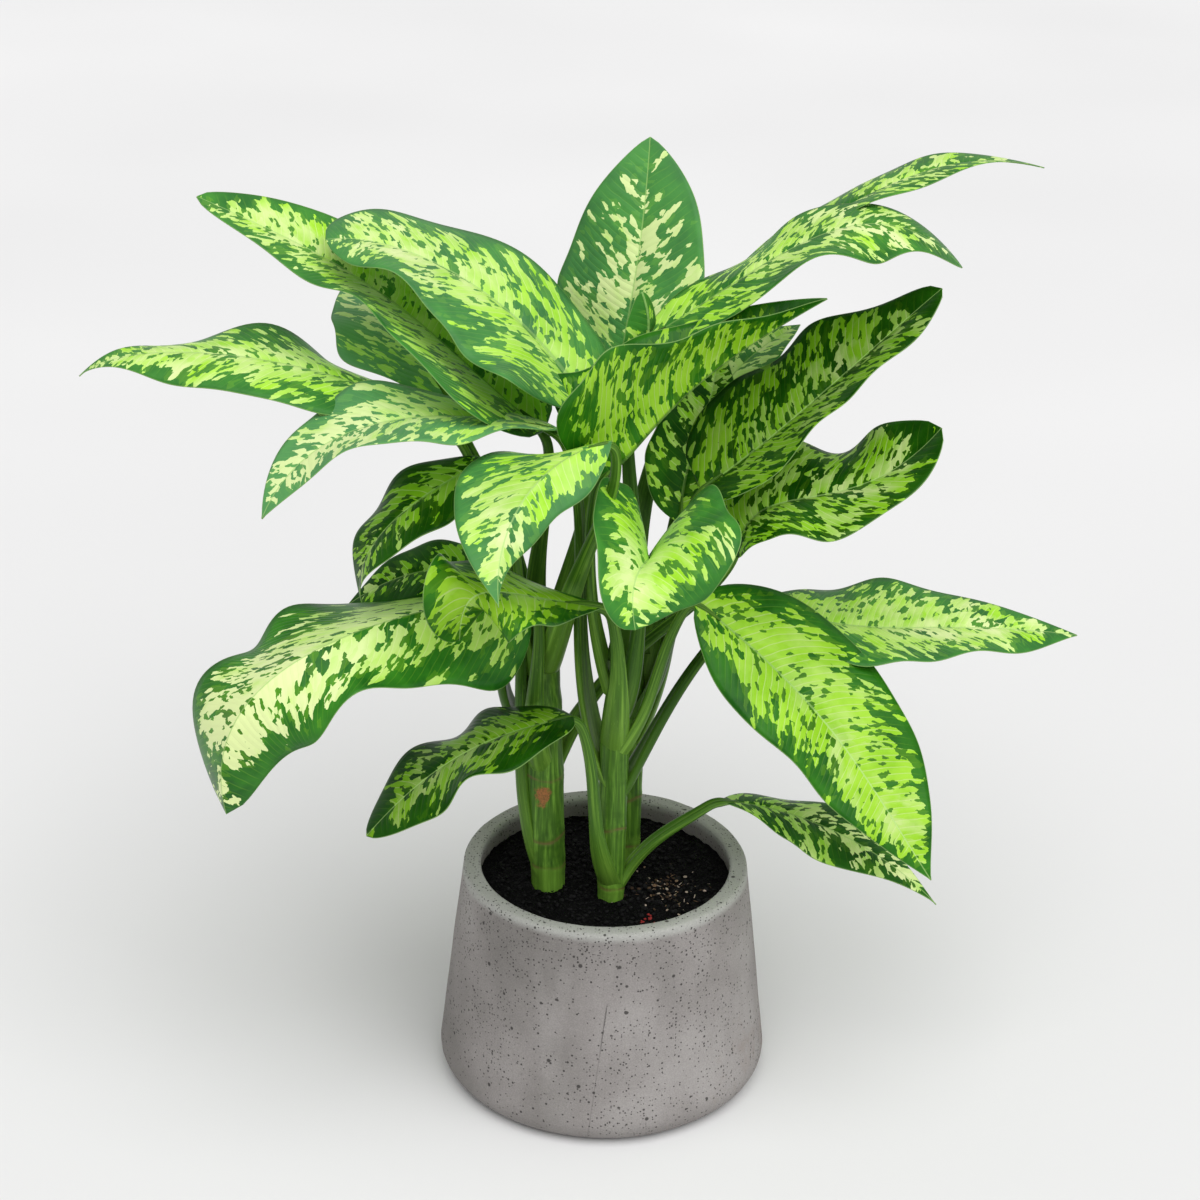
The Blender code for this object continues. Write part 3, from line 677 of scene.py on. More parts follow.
LEAVES = {
    # The left cane, from its lowest leaf up.
    "left_1": Leaf("left", 0.165, 190, (-0.081, -0.023, 0.473), (-0.162, -0.062, 0.387), 0.07,
        pitch=(-20, -103), veer=(-11, -20), roll=(15, 10), fold=(6, 4), halves=(1.02, 1.03),
        reach=(0.36, 0.36), curl=-14, belly=0.41, point=1.18, rise=0.35, lean=0.05, sheath=0.16,
        green="deep", pale=0.48, cream=0.09, painted_light=-0.28,
        edges=((0.01, 0.02, 0.01, 0.01, -0.03), (-0.02, 0.03, -0.02, 0.02, 0.01)),
        ruffle=((-0.02, -0.05, -0.02, 0.01, 0.11), (-0.08, 0.05, -0.13, 0.09, 0.07))),
    "left_2": Leaf("left", 0.235, 40, (0.082, -0.011, 0.403), (0.214, 0.003, 0.491), 0.1,
        pitch=(86, 53), veer=(-4, -1), roll=(-12, -8), fold=(17, 9), halves=(1.1, 1.01),
        reach=(0.44, 0.6), curl=-13, belly=0.52, point=0.5, sheath=0.2, green="deep", pale=0.52,
        cream=0.21, plain=0.03, painted_light=-0.21,
        edges=((0.06, 0.01, 0, -0.08, 0.07), (-0.05, -0.03, 0.05, 0.01, 0.03)),
        ruffle=((0.1, 0.01, -0.01, -0.18, 0.07), (0.07, 0.05, -0.06, -0.01, -0.04))),
    "left_3": Leaf("left", 0.24, 250, (-0.054, -0.025, 0.383), (-0.249, -0.108, 0.254), 0.118,
        pitch=(0, -112), veer=(-1, 54), roll=(24, -15), fold=(-34, -30), halves=(1.02, 1.45),
        reach=(0.31, 0.65), curl=-10, belly=0.39, point=0.5, green="pale", pale=0.53, cream=1,
        plain=0.4, painted_light=0.03,
        edges=((0.15, -0.09, -0.06, -0.05, 0.03), (-0.01, 0.02, 0.06, -0.02, 0.19)),
        ruffle=((-0.21, 0.12, 0.37, 0.01, -0.01), (-0.12, 0.06, 0.34, 0, 0.05))),
    "left_4": Leaf("left", 0.255, 170, (-0.075, 0.011, 0.378), (-0.18, 0.02, 0.347), 0.059,
        pitch=(8, -39), veer=(3, 0), roll=(18, 20), fold=(10, 7), halves=(1, 0.99),
        reach=(0.4, 0.41), curl=-16, belly=0.41, point=0.98, lean=0.6, green="deep", pale=0.42,
        cream=0.13, edges=((0, 0, 0, 0, 0), (-0.01, -0.01, 0, 0.02, 0)),
        ruffle=((0, 0, 0, 0, 0), (-0.01, -0.01, 0, 0.02, -0.01))),
    "left_5": Leaf("left", 0.28, 105, (-0.111, 0.06, 0.48), (-0.186, 0.162, 0.538), 0.105,
        pitch=(49, 10), veer=(12, -1), roll=(-4, 0), fold=(8, 10), halves=(1.08, 1),
        reach=(0.42, 0.39), belly=0.41, point=1.07, rise=0.7, pale=0.44, cream=1, plain=0.16,
        painted_light=0.6, edges=((-0.03, 0.12, -0.04, -0.05, 0.01), (0, 0, 0, 0, 0)),
        ruffle=((0.07, -0.02, 0, 0.01, 0.01), (0, 0, 0, 0, 0))),
    "left_6": Leaf("left", 0.312, 195, (-0.101, -0.006, 0.481), (-0.351, 0.013, 0.512), 0.095,
        pitch=(26, -46), veer=(-33, -8), roll=(-17, 14), fold=(5, -2), halves=(1.05, 1.13),
        reach=(0.37, 0.2), curl=-10, belly=0.37, point=1.49, rise=0.6, lean=0.1, pale=0.57,
        cream=0.48, plain=0.3, painted_light=0.12,
        edges=((0.02, 0.04, 0.04, 0.07, -0.01), (0.01, 0.03, 0.03, -0.03, 0.02)),
        ruffle=((-0.05, -0.11, -0.17, -0.22, 0.02), (0.03, -0.29, 0.24, -0.2, 0.22))),
    "left_7": Leaf("left", 0.31, 120, (-0.046, 0.013, 0.48), (-0.278, 0.073, 0.617), 0.092,
        pitch=(40, 24), veer=(1, 16), roll=(5, 16), fold=(15, 10), halves=(1.12, 1.01),
        reach=(0.46, 0.46), curl=-14, belly=0.42, point=0.56, pale=0.59, plain=0.34, painted_light=0.12,
        edges=((1.05, 0.35, 0.04, 0, -0.02), (1, 0.35, 0.01, 0.03, 0.05)),
        ruffle=((0.06, 0.17, 0.16, 0.01, 0.03), (0, 0, 0.02, 0.08, 0.13))),
    "left_8": Leaf("left", 0.315, 290, (-0.002, -0.07, 0.506), (-0.068, -0.166, 0.434), 0.084,
        pitch=(-8, -57), veer=(-52, 49), roll=(-14, 15), fold=(-43, -6), halves=(0.68, 1.33),
        reach=(0.32, 0.38), curl=-7, belly=0.33, point=1.22, rise=0.65, lean=0.2, green="pale",
        pale=0.57, cream=0.36, plain=0.26, painted_light=0.24,
        edges=((0, -0.02, -0.03, 0.05, -0.04), (0.04, 0.02, 0.05, -0.01, 0.01)),
        ruffle=((0, 0.02, 0.05, -0.06, -0.02), (-0.19, 0.14, 0.15, 0.02, 0))),
    "left_9": Leaf("left", 0.33, 60, (-0.014, 0.013, 0.496), (-0.191, 0.047, 0.597), 0.121,
        pitch=(45, -9), veer=(-33, 22), roll=(-6, 9), halves=(1.08, 0.97), reach=(0.5, 0.2),
        curl=-13, belly=0.44, point=0.5, green="pale", pale=0.52, cream=0.52, plain=0.34,
        painted_light=0.24, edges=((0.85, 0.15, 0.05, -0.02, 0.03), (0.01, 0.01, 0, -0.01, 0)),
        ruffle=((0.2, -0.07, -0.12, 0.12, -0.12), (0.04, 0.03, 0.02, -0.03, -0.01))),
    # The right cane.
    "right_1": Leaf("right", 0.155, 20, (0.077, -0.03, 0.227), (0.229, -0.05, 0.16), 0.063,
        pitch=(-19, -46), veer=(49, -2), roll=(-7, -17), fold=(3, 5), halves=(1.01, 1.07),
        reach=(0.41, 0.39), curl=-18, belly=0.44, point=1.42, sheath=0.08, green="deep", pale=0.42,
        cream=0.71, plain=0, painted_light=0.04,
        edges=((-0.02, -0.03, 0.03, 0.01, 0), (-0.02, 0.04, 0.04, 0.05, -0.04)),
        ruffle=((-0.02, -0.11, 0.03, 0.01, 0), (0.07, -0.01, -0.07, -0.07, 0.05))),
    "right_2": Leaf("right", 0.16, 240, (-0.024, -0.059, 0.306), (-0.159, -0.095, 0.232), 0.082,
        pitch=(-1, -46), veer=(4, 9), roll=(-7, 2), fold=(3, 3), halves=(1.06, 1.09),
        reach=(0.37, 0.41), curl=-14, belly=0.42, point=0.62, sheath=0.24, green="deep", pale=0.46,
        cream=0.08, painted_light=-0.45,
        edges=((0, 0.02, -0.05, 0.04, 0.04), (0.02, 0.03, -0.03, 0.06, 0)),
        ruffle=((0, -0.02, 0.16, -0.02, -0.04), (0.03, 0.03, -0.21, 0.07, -0.01))),
    "right_3": Leaf("right", 0.225, 25, (0.101, 0.022, 0.356), (0.327, 0.049, 0.321), 0.102,
        pitch=(-24, -9), veer=(0, -1), roll=(-5, -15), fold=(5, 13), halves=(1.07, 1.11),
        reach=(0.38, 0.52), curl=-12, belly=0.45, point=0.97, sheath=0.2, green="pale", pale=0.62,
        cream=0.47, plain=0.36, painted_light=0.12,
        edges=((-0.01, -0.02, 0.03, 0.01, -0.03), (0.03, 0.08, -0.02, -0.03, 0.1)),
        ruffle=((-0.01, -0.03, 0.02, -0.01, -0.04), (-0.04, -0.11, 0.07, 0.15, -0.14))),
    "right_4": Leaf("right", 0.235, 150, (-0.036, -0.021, 0.494), (-0.22, -0.091, 0.457), 0.083,
        pitch=(13, -59), veer=(-24, 25), roll=(-6, 5), fold=(7, 6), halves=(1.13, 1.03),
        reach=(0.43, 0.36), curl=-12, point=1.03, cream=0.95, plain=0.16, painted_light=0.42,
        edges=((-0.03, 0.07, 0.01, 0.01, -0.01), (-0.03, -0.01, 0.09, -0.01, 0.01)),
        ruffle=((0.08, -0.07, -0.03, 0.29, -0.02), (-0.08, 0.02, 0.26, 0.02, 0.01))),
    "right_5": Leaf("right", 0.26, -20, (0.056, -0.03, 0.378), (0.216, -0.101, 0.21), 0.111,
        pitch=(-35, -52), veer=(17, -1), roll=(-27, -38), fold=(12, 6), halves=(1.08, 0.82),
        reach=(0.46, 0.34), belly=0.35, point=1.04, sheath=0.2, green="pale", pale=0.63,
        cream=0.08, plain=0.44, painted_light=-0.2,
        edges=((0, -0.01, -0.07, 0.06, 0.11), (0.09, 0.02, -0.09, 0.04, 0.01)),
        ruffle=((-0.01, -0.01, -0.03, 0.04, 0.06), (-0.1, -0.03, 0.06, -0.01, -0.02))),
    "right_6": Leaf("right", 0.265, 270, (-0.004, -0.051, 0.383), (-0.096, -0.101, 0.38), 0.078,
        pitch=(10, -126), veer=(-14, 66), roll=(-6, 31), fold=(-4, 12), halves=(0.96, 0.97),
        reach=(0.61, 0.99), belly=0.57, point=0.64, pale=0.58, cream=-0.3, painted_light=-0.32,
        edges=((-0.01, 0, 0, 0, -0.01), (-0.02, 0, 0, 0, -0.06)),
        ruffle=((0.02, 0, 0, -0.01, -0.06), (-0.01, 0.06, -0.01, -0.04, 0.05))),
    "right_7": Leaf("right", 0.285, 300, (0.023, -0.029, 0.408), (0.015, -0.129, 0.403), 0.131,
        pitch=(29, -65), veer=(14, 33), roll=(1, 8), fold=(30, 48), cup=(1.9, 0.4),
        halves=(0.98, 0.81), reach=(0.43, 0.42), belly=0.32, point=0.5, pale=0.59, cream=0.5,
        plain=0.42, painted_light=0.1,
        edges=((0.01, -0.02, 0.14, -0.03, -0.1), (0.02, 0.05, -0.03, -0.13, 0)),
        ruffle=((0.06, -0.03, -0.09, 0, 0.02), (0.01, 0.04, 0.02, 0.03, -0.03))),
    "right_8": Leaf("right", 0.305, 170, (-0.009, -0.029, 0.465), (0.136, 0.021, 0.572), 0.109,
        pitch=(47, 31), veer=(-15, -17), roll=(2, -6), fold=(60, 68), halves=(1, 1.06),
        reach=(0.34, 0.56), curl=-12, belly=0.25, point=0.84, lean=0.1, green="pale", pale=0.52,
        cream=-0.3, plain=0.16, painted_light=-0.28,
        edges=((0.4, 0.08, 0.01, 0, 0), (0.4, 0.15, -0.01, 0, -0.1)),
        ruffle=((0, 0, 0, 0, 0), (-0.06, 0.1, 0, 0.02, -0.11))),
    "right_9": Leaf("right", 0.322, 65, (0.014, 0.046, 0.53), (0.227, 0.055, 0.584), 0.089,
        pitch=(34, -45), veer=(-2, -9), roll=(-10, -4), fold=(-3, -1), halves=(1.05, 1.08),
        reach=(0.47, 0.43), curl=-5, belly=0.47, point=0.71, pale=0.44, cream=0.52, plain=0.07,
        painted_light=0.08, edges=((0.03, -0.02, 0.01, 0.01, -0.01), (-0.01, -0.01, -0.01, 0.06, -0.01)),
        ruffle=((0.13, -0.1, 0.03, 0.08, -0.05), (0.02, 0.01, 0.2, -0.19, 0.09))),
    # The rear cane, which the others hide from the front.
    "rear_1": Leaf("rear", 0.24, 30, (0.047, 0.05, 0.401), (0.069, 0.086, 0.52), 0.052,
        pitch=(80, 70), veer=(40, 40), fold=(20, 20), green="deep", pale=0.44, cream=0.16,
        plain=0.08, painted_light=0.01, edges=((0.3, 0.3, 0.2, 0, 0), (0, 0, 0, 0, 0))),
    "rear_2": Leaf("rear", 0.26, -20, (0.058, 0.012, 0.441), (0.213, 0.044, 0.573), 0.104,
        pitch=(38, 40), veer=(-4, 2), roll=(-13, -5), fold=(23, 20), halves=(1.02, 1.03),
        reach=(0.4, 0.51), curl=-14, belly=0.34, point=0.5, green="deep", pale=0.52, cream=0.08,
        plain=0.05, painted_light=-0.45,
        edges=((0.03, 0.06, -0.07, 0.11, -0.12), (0, 0.01, -0.04, -0.02, 0.07)),
        ruffle=((0.03, 0.07, -0.07, 0.13, -0.12), (-0.01, -0.02, 0.12, 0.06, -0.14))),
    "rear_3": Leaf("rear", 0.27, 60, (0.055, 0.085, 0.448), (0.13, 0.15, 0.511), 0.06,
        pitch=(60, 10), fold=(15, 15), pale=0.6, cream=0.68, painted_light=0.2),
    "rear_4": Leaf("rear", 0.305, 110, (0.083, 0.11, 0.564), (0.292, 0.154, 0.626), 0.067,
        pitch=(32, -16), veer=(-9, 4), roll=(5, 9), fold=(11, 9), halves=(1.04, 1.04),
        reach=(0.43, 0.38), belly=0.42, point=0.89, pale=0.41, cream=0.4, plain=0, painted_light=0.08,
        edges=((0.01, 0, -0.02, 0.04, 0.01), (0, 0, 0.03, 0.01, 0)),
        ruffle=((0.02, -0.01, -0.11, 0.13, -0.02), (0.01, 0.03, -0.07, -0.01, 0.03))),
    "rear_5": Leaf("rear", 0.305, 190, (-0.001, 0.037, 0.484), (0.016, 0.03, 0.571), 0.037,
        pitch=(71, 116), veer=(6, -10), roll=(-3, 16), fold=(31, 47), halves=(1.06, 0.97),
        reach=(0.43, 0.41), curl=-9, belly=0.42, point=0.5, pale=0.35, cream=0.28, painted_light=0.1,
        edges=((0, 0, 0.01, 0.03, 0.02), (0, -0.01, -0.05, -0.02, 0.04)),
        ruffle=((0, 0.01, 0.04, -0.06, -0.05), (0, -0.01, -0.04, -0.02, 0.02))),
    "rear_6": Leaf("rear", 0.31, 150, (-0.002, 0.095, 0.45), (0.021, 0.154, 0.642), 0.113,
        pitch=(87, 62), veer=(-44, 16), roll=(4, 9), fold=(16, 10), halves=(1, 1.05),
        reach=(0.37, 0.52), belly=0.52, point=0.77, pale=0.42, cream=1, plain=0.15, painted_light=0.26,
        edges=((0, -0.01, 0.02, 0.01, 0.05), (0, 0, -0.01, -0.02, 0.03)),
        ruffle=((0, 0, 0.01, -0.02, 0.02), (0, 0, 0.01, 0.02, 0.01))),
}


def direction(pitch, bearing):
    pitch, bearing = math.radians(pitch), math.radians(bearing)
    flat = math.cos(pitch)
    return np.array([flat * math.cos(bearing), flat * math.sin(bearing), math.sin(pitch)])


def bearing_of(leaf):
    x, y, _ = np.subtract(leaf.tip, leaf.base)
    return math.degrees(math.atan2(y, x))


def bezier(start, first, second, end, s):
    s = s[:, None]
    near_start = (1 - s) ** 3 * start + 3 * (1 - s) ** 2 * s * first
    return near_start + 3 * (1 - s) * s**2 * second + s**3 * end


def midrib(leaf, s):
    """Points along the midrib, and its direction at each."""
    base, tip = np.array(leaf.base), np.array(leaf.tip)
    length = np.linalg.norm(tip - base)
    bearing = bearing_of(leaf)
    first = base + direction(leaf.pitch[0], bearing + leaf.veer[0]) * length * leaf.reach[0]
    second = tip - direction(leaf.pitch[1], bearing + leaf.veer[1]) * length * leaf.reach[1]
    t = s[:, None]
    along = (1 - t) ** 2 * (first - base) + 2 * (1 - t) * t * (second - first)
    along = along + t**2 * (tip - second)
    return bezier(base, first, second, tip, s), along / np.linalg.norm(along, axis=1, keepdims=True)


def between(pair, s):
    return pair[0] + (pair[1] - pair[0]) * s


def half_width(leaf, s):
    """Half of the blade's width at s, from a profile that rises to 1 at the belly."""
    rise = leaf.belly * leaf.point / (1 - leaf.belly)
    peak = leaf.belly**rise * (1 - leaf.belly) ** leaf.point
    profile = s**rise * (1 - s) ** leaf.point / peak
    return np.maximum(leaf.width / 2 * profile, between((BASE_HALF_WIDTH, TIP_HALF_WIDTH), s))


def at_stations(pair, s, right):
    """Soft bumps of these heights at the stations, for the half that each point is on."""
    near = bell(s[:, None] - STATIONS, STATION_WIDTH)
    return np.where(right, near @ np.array(pair[1]), near @ np.array(pair[0]))


def blade_frame(leaf, s):
    """The midrib's points and, at each, the way to the right margin and the way up."""
    points, along = midrib(leaf, s)
    turn = np.radians(bearing_of(leaf) + between(leaf.veer, s))
    side = np.stack([np.sin(turn), -np.cos(turn), np.zeros_like(s)], axis=1)
    side -= along * np.sum(along * side, axis=1, keepdims=True)
    side /= np.linalg.norm(side, axis=1, keepdims=True)
    up = np.cross(side, along)
    roll = np.radians(between(leaf.roll, s))[:, None]
    return points, side * np.cos(roll) + up * np.sin(roll), up * np.cos(roll) - side * np.sin(roll)


def blade_points(leaf, s, across):
    """Points on the blade, s from its base to its tip and across from -1 to 1 over its width."""
    points, side, up = blade_frame(leaf, s)
    right = across > 0
    reach = np.abs(across)
    fold = np.radians(np.where(right, leaf.fold[1], leaf.fold[0]) * between(leaf.cup, s))
    curl = math.radians(leaf.curl)
    bent = fold + curl * reach
    out = (np.sin(bent) - np.sin(fold)) / curl * np.sign(across)
    lift = (np.cos(fold) - np.cos(bent)) / curl
    width = half_width(leaf, s) * np.where(right, leaf.halves[1], leaf.halves[0])
    width = width * (1 + at_stations(leaf.edges, s, right))
    phase = 2 * math.pi * (WAVES_PER_BLADE * s + WAVE_OFFSET * right)
    lift += leaf.wave * reach**2 * np.sin(phase) * np.sqrt(np.sin(math.pi * s))
    lift += at_stations(leaf.ruffle, s, right) * reach**2
    lift -= CHANNEL_DEPTH * bell(reach, CHANNEL_WIDTH) * (1 - s)
    return points + side * (out * width)[:, None] + up * (lift * width)[:, None], width


def unroll(leaf, s, across, width):
    """Where a point lies on the flat blade: its distance from the midrib, and its place along
    the side vein that it is on."""
    length = np.linalg.norm(np.subtract(leaf.tip, leaf.base)) * BLADE_SLACK
    off = across * width
    return off, s * length - VEIN_SLANT * np.abs(off) - VEIN_SWEEP * off**2


def grow_blade(leaf, seed):
    """The blade as a sheet that is closer-meshed along its midrib, with its keel as a weight."""
    bm = bmesh.new()
    bmesh.ops.create_grid(bm, x_segments=BLADE_GRID[0], y_segments=BLADE_GRID[1], size=0.5)
    flat = np.array([vertex.co for vertex in bm.verts])
    s = np.clip(flat[:, 0] + 0.5, 0, 1)
    across = np.clip(-2 * flat[:, 1], -1, 1)
    across = 0.35 * across + 0.65 * across * np.abs(across)
    places, width = blade_points(leaf, s, across)
    move_to(bm, places)
    off, vein = unroll(leaf, s, across, width)
    veins, blade = bm.loops.layers.uv.new("veins"), bm.loops.layers.uv.new("blade")
    bm.verts.ensure_lookup_table()
    for face in bm.faces:
        for loop in face.loops:
            i = loop.vert.index
            loop[veins].uv = (off[i], vein[i])
            loop[blade].uv = (width[i], s[i])
    store(bm, "growth", np.full_like(s, seed), leaf.pale, leaf.cream)
    store(bm, "tone", np.full_like(s, leaf.plain), leaf.painted_light, 0)
    rib = bell(off, RIB_WIDTH - RIB_NARROWING * s) * (1 - RIB_FALL * s)
    keel = bm.verts.layers.deform.verify()
    for vertex, height in zip(bm.verts, rib):
        vertex[keel][0] = SHEET_SHARE + (1 - SHEET_SHARE) * height
    return bm


def group_of(name, inputs, outputs):
    """A node group with these sockets. Vectors come in, and numbers go out."""
    tree = bpy.data.node_groups.new(name, "ShaderNodeTree")
    for socket in inputs:
        tree.interface.new_socket(socket, in_out="INPUT", socket_type="NodeSocketVector")
    for socket in outputs:
        tree.interface.new_socket(socket, in_out="OUTPUT", socket_type="NodeSocketFloat")
    return tree, tree.nodes.new("NodeGroupInput").outputs, tree.nodes.new("NodeGroupOutput").inputs


def joined(tree, x, y, z=0.0):
    return node_of(tree, "ShaderNodeCombineXYZ", {0: x, 1: y, 2: z}).outputs["Vector"]


def scatter(tree, off, vein, seed, size, stretch):
    """Small cells drawn out along the side veins: the middle of each, and its luck."""
    along = scaled(tree, seed, 37.0, maths(tree, "DIVIDE", off, size))
    apart = scaled(tree, vein, stretch / size, times(tree, seed, 91.0))
    inputs = {"Vector": joined(tree, along, apart), "Scale": 1.0, "Randomness": 1.0}
    cells = node_of(tree, "ShaderNodeTexVoronoi", inputs, voronoi_dimensions="2D").outputs
    return cells["Position"], parts_of(tree, cells["Color"])["X"]


def spread(tree, place, scale, share):
    """Noise over this place, as a gain or loss of about this share."""
    drift = grains(tree, stretched(tree, place, scale), 1, 1)
    return scaled(tree, drift, 4.4 * share, -2.2 * share)


def total(tree, first, *others):
    for other in others:
        first = maths(tree, "ADD", first, other)
    return first


def variegation():
    """Pale is 1 on a blotch. Cream is how light it is, and Ghost a faint blotch in the ground."""
    sockets = ("Veins", "Blade", "Growth", "Tone")
    tree, given, made = group_of("variegation", sockets, ("Pale", "Cream", "Ghost"))
    veins, blade, growth, tone = (parts_of(tree, given[name]) for name in sockets)
    seed, half, s, plain = growth["X"], blade["X"], blade["Y"], tone["X"]

    # The outlines of the blotches waver.
    place = joined(tree, veins["X"], veins["Y"], seed)
    wobble = node_of(tree, "ShaderNodeTexNoise", {"Vector": place, "Scale": 400.0, "Detail": 1.0})
    wobble = parts_of(tree, wobble.outputs["Color"])
    off = maths(tree, "SUBTRACT", veins["X"], WOBBLE_ACROSS / 2)
    off = scaled(tree, wobble["X"], WOBBLE_ACROSS, off)
    vein = maths(tree, "SUBTRACT", veins["Y"], WOBBLE_ALONG / 2)
    vein = scaled(tree, wobble["Y"], WOBBLE_ALONG, vein)

    # A cell is pale by luck, by drifts along the blade, and less towards its margins and ends.
    spot, luck = scatter(tree, off, vein, seed, BLOTCH_SIZE, BLOTCH_STRETCH)
    middle = scaled(tree, seed, -37.0, parts_of(tree, spot)["X"])
    reach = maths(tree, "DIVIDE", times(tree, middle, BLOTCH_SIZE), half)
    reach = maths(tree, "ABSOLUTE", reach)
    level = total(
        tree,
        growth["Y"],
        scaled(tree, luck, 0.44, -0.17),
        spread(tree, spot, (0.20, 0.18, 1), 0.26),
        spread(tree, spot, (0.42, 0.46, 1), 0.30),
        times(tree, step(tree, reach, 0.30, 1.0, 0.35, -1.0), plain),
        step(tree, reach, 0.88, 1.0, 0, -0.25),
        step(tree, s, 0.82, 0.98, 0, -0.40),
        step(tree, s, 0.10, 0.0, 0, -0.20),
    )
    blotch = maths(tree, "GREATER_THAN", level, BLOTCH_LEVEL)

    # Dark flecks lie in the blotches, and a few light ones in the ground.
    fleck, chance = scatter(
        tree, off, vein, maths(tree, "ADD", seed, 0.37), FLECK_SIZE, FLECK_STRETCH
    )
    mottle = total(tree, chance, spread(tree, fleck, (0.30, 0.30, 1), 0.35))
    dark = total(tree, mottle, step(tree, level, BLOTCH_LEVEL, 0.9, -0.06, 0.06))
    dark = maths(tree, "LESS_THAN", dark, 0.12)
    margin = times(tree, step(tree, reach, 0.55, 0.95, 0, -1), plain)
    light = total(tree, mottle, margin, step(tree, level, 0.15, 0.45, -0.25, 0.0))
    light = maths(tree, "GREATER_THAN", light, 0.93)
    pale = maths(tree, "MAXIMUM", maths(tree, "SUBTRACT", blotch, dark), light)
    feed(tree, made["Pale"], maths(tree, "MAXIMUM", pale, 0.0))

    # The blotches are lightest near the midrib and towards the tip.
    wash = scaled(tree, luck, 0.30, spread(tree, place, (45, 45, 1), 0.45))
    wash = total(tree, wash, growth["Z"], step(tree, reach, 0.6, 0.0, -0.30, -0.05))
    wash = times(tree, wash, step(tree, s, 0.20, 0.70, 0.30, 1.10))
    feed(tree, made["Cream"], maths(tree, "MAXIMUM", maths(tree, "MINIMUM", wash, 1.0), 0.0))
    feed(tree, made["Ghost"], maths(tree, "GREATER_THAN", level, BLOTCH_LEVEL - 0.08))
    return tree


def venation():
    """Line and Rib are 1 on a side vein and on the midrib, and Edge on the margin. Quilt is the
    height of the blade between its veins."""
    tree, given, made = group_of("venation", ("Veins", "Blade"), ("Line", "Rib", "Edge", "Quilt"))
    veins, blade = parts_of(tree, given["Veins"]), parts_of(tree, given["Blade"])
    right = maths(tree, "GREATER_THAN", veins["X"], 0.0)
    place = scaled(tree, right, VEIN_SPACING / 2, veins["Y"])
    drift = grains(tree, joined(tree, veins["X"], veins["Y"]), 60, 1)
    place = scaled(tree, drift, 0.004, place)
    gap = maths(tree, "PINGPONG", place, VEIN_SPACING / 2)
    fine = maths(tree, "PINGPONG", place, VEIN_SPACING / 8)
    off = maths(tree, "ABSOLUTE", veins["X"])
    to_margin = maths(tree, "SUBTRACT", blade["X"], off)
    fade = step(tree, to_margin, 0.0, 0.012)
    feed(tree, made["Line"], times(tree, step(tree, gap, 0.0006, 0.0001), fade))
    rib = scaled(tree, blade["Y"], -0.0009, 0.0014)
    feed(tree, made["Rib"], step(tree, off, rib, times(tree, rib, 0.5)))
    feed(tree, made["Edge"], step(tree, to_margin, 0.0007, 0.0002))
    quilt = maths(tree, "POWER", times(tree, gap, 2 / VEIN_SPACING), 0.6)
    quilt = times(tree, quilt, step(tree, to_margin, 0.0, 0.02, 0.3, 1.0))
    feed(tree, made["Quilt"], scaled(tree, fine, 60.0, quilt))
    return tree


VARIEGATION = variegation()
VENATION = venation()


def group_in(tree, group, *vectors):
    """A node group in a material, with its inputs fed in their order."""
    made = node_of(tree, "ShaderNodeGroup", dict(enumerate(vectors)), node_tree=group)
    return made.outputs


def leaf_skin(name, ground):
    deepest, lightest, glow, shine = ground
    material, tree, shader = new_material(f"leaf_{name}", Specular_IOR_Level=shine)
    veins = node_of(tree, "ShaderNodeUVMap", {}, uv_map="veins").outputs["UV"]
    blade = node_of(tree, "ShaderNodeUVMap", {}, uv_map="blade").outputs["UV"]
    tone = stored(tree, "tone")
    spots = group_in(tree, VARIEGATION, veins, blade, stored(tree, "growth"), tone)
    ribs = group_in(tree, VENATION, veins, blade)

    place = place_on(tree)
    cloud = grains(tree, place, 35, 3, 0.6)
    green = ramp(tree, cloud, (0.35, deepest), (0.65, lightest))
    green = blend(tree, times(tree, spots["Ghost"], 0.14 * glow), green, LIME_SHADE)
    green = blend(tree, times(tree, ribs["Line"], 0.10 * glow), green, LIME)

    light = blend(tree, step(tree, cloud, 0.35, 0.65), LIME_SHADE, LIME)
    light = blend(tree, glow, LIME_DEEP, light)
    light = blend(tree, spots["Cream"], light, CREAM)
    light = blend(tree, times(tree, ribs["Line"], 0.45), light, CREAM)
    colour = blend(tree, spots["Pale"], green, light)

    # Painted light, a paler bluish sheen, shows least on the blotches, and below nothing the share
    # paints the whole blade darker as painted shade. Then come the midrib and the margin.
    painted_light = parts_of(tree, tone)["Y"]
    sheen_share = times(tree, painted_light, step(tree, spots["Pale"], 0, 1, 1, 0.2))
    colour = blend(tree, maths(tree, "MAXIMUM", sheen_share, 0.0), colour, PAINTED_SHEEN)
    # Painted shade: a blade whose share is below nothing is painted darker all over.
    darkening = maths(tree, "MAXIMUM", times(tree, painted_light, -1.0), 0.0)
    colour = blend(tree, darkening, colour, PAINTED_SHADE)
    tipward = step(tree, parts_of(tree, blade)["Y"], 0.1, 0.6)
    rib_colour = blend(tree, tipward, RIB_GREEN, RIB_CREAM)
    rib_share = step(tree, spots["Pale"], 0, 1, 0.45, 0.7)
    colour = blend(tree, times(tree, ribs["Rib"], rib_share), colour, rib_colour)
    colour = blend(tree, times(tree, ribs["Edge"], 0.6), colour, EDGE_PALE)

    fine = grains(tree, place, 1400, 2, 0.6)
    relief = scaled(tree, fine, 0.06, times(tree, ribs["Quilt"], 0.8))
    relief = maths(tree, "SUBTRACT", relief, times(tree, ribs["Rib"], 0.5))
    finish_surface(tree, shader, colour, scaled(tree, cloud, 0.20, 0.27), relief, 0.0006, 0.55)
    return material


SKINS = {name: leaf_skin(name, ground) for name, ground in GROUNDS.items()}

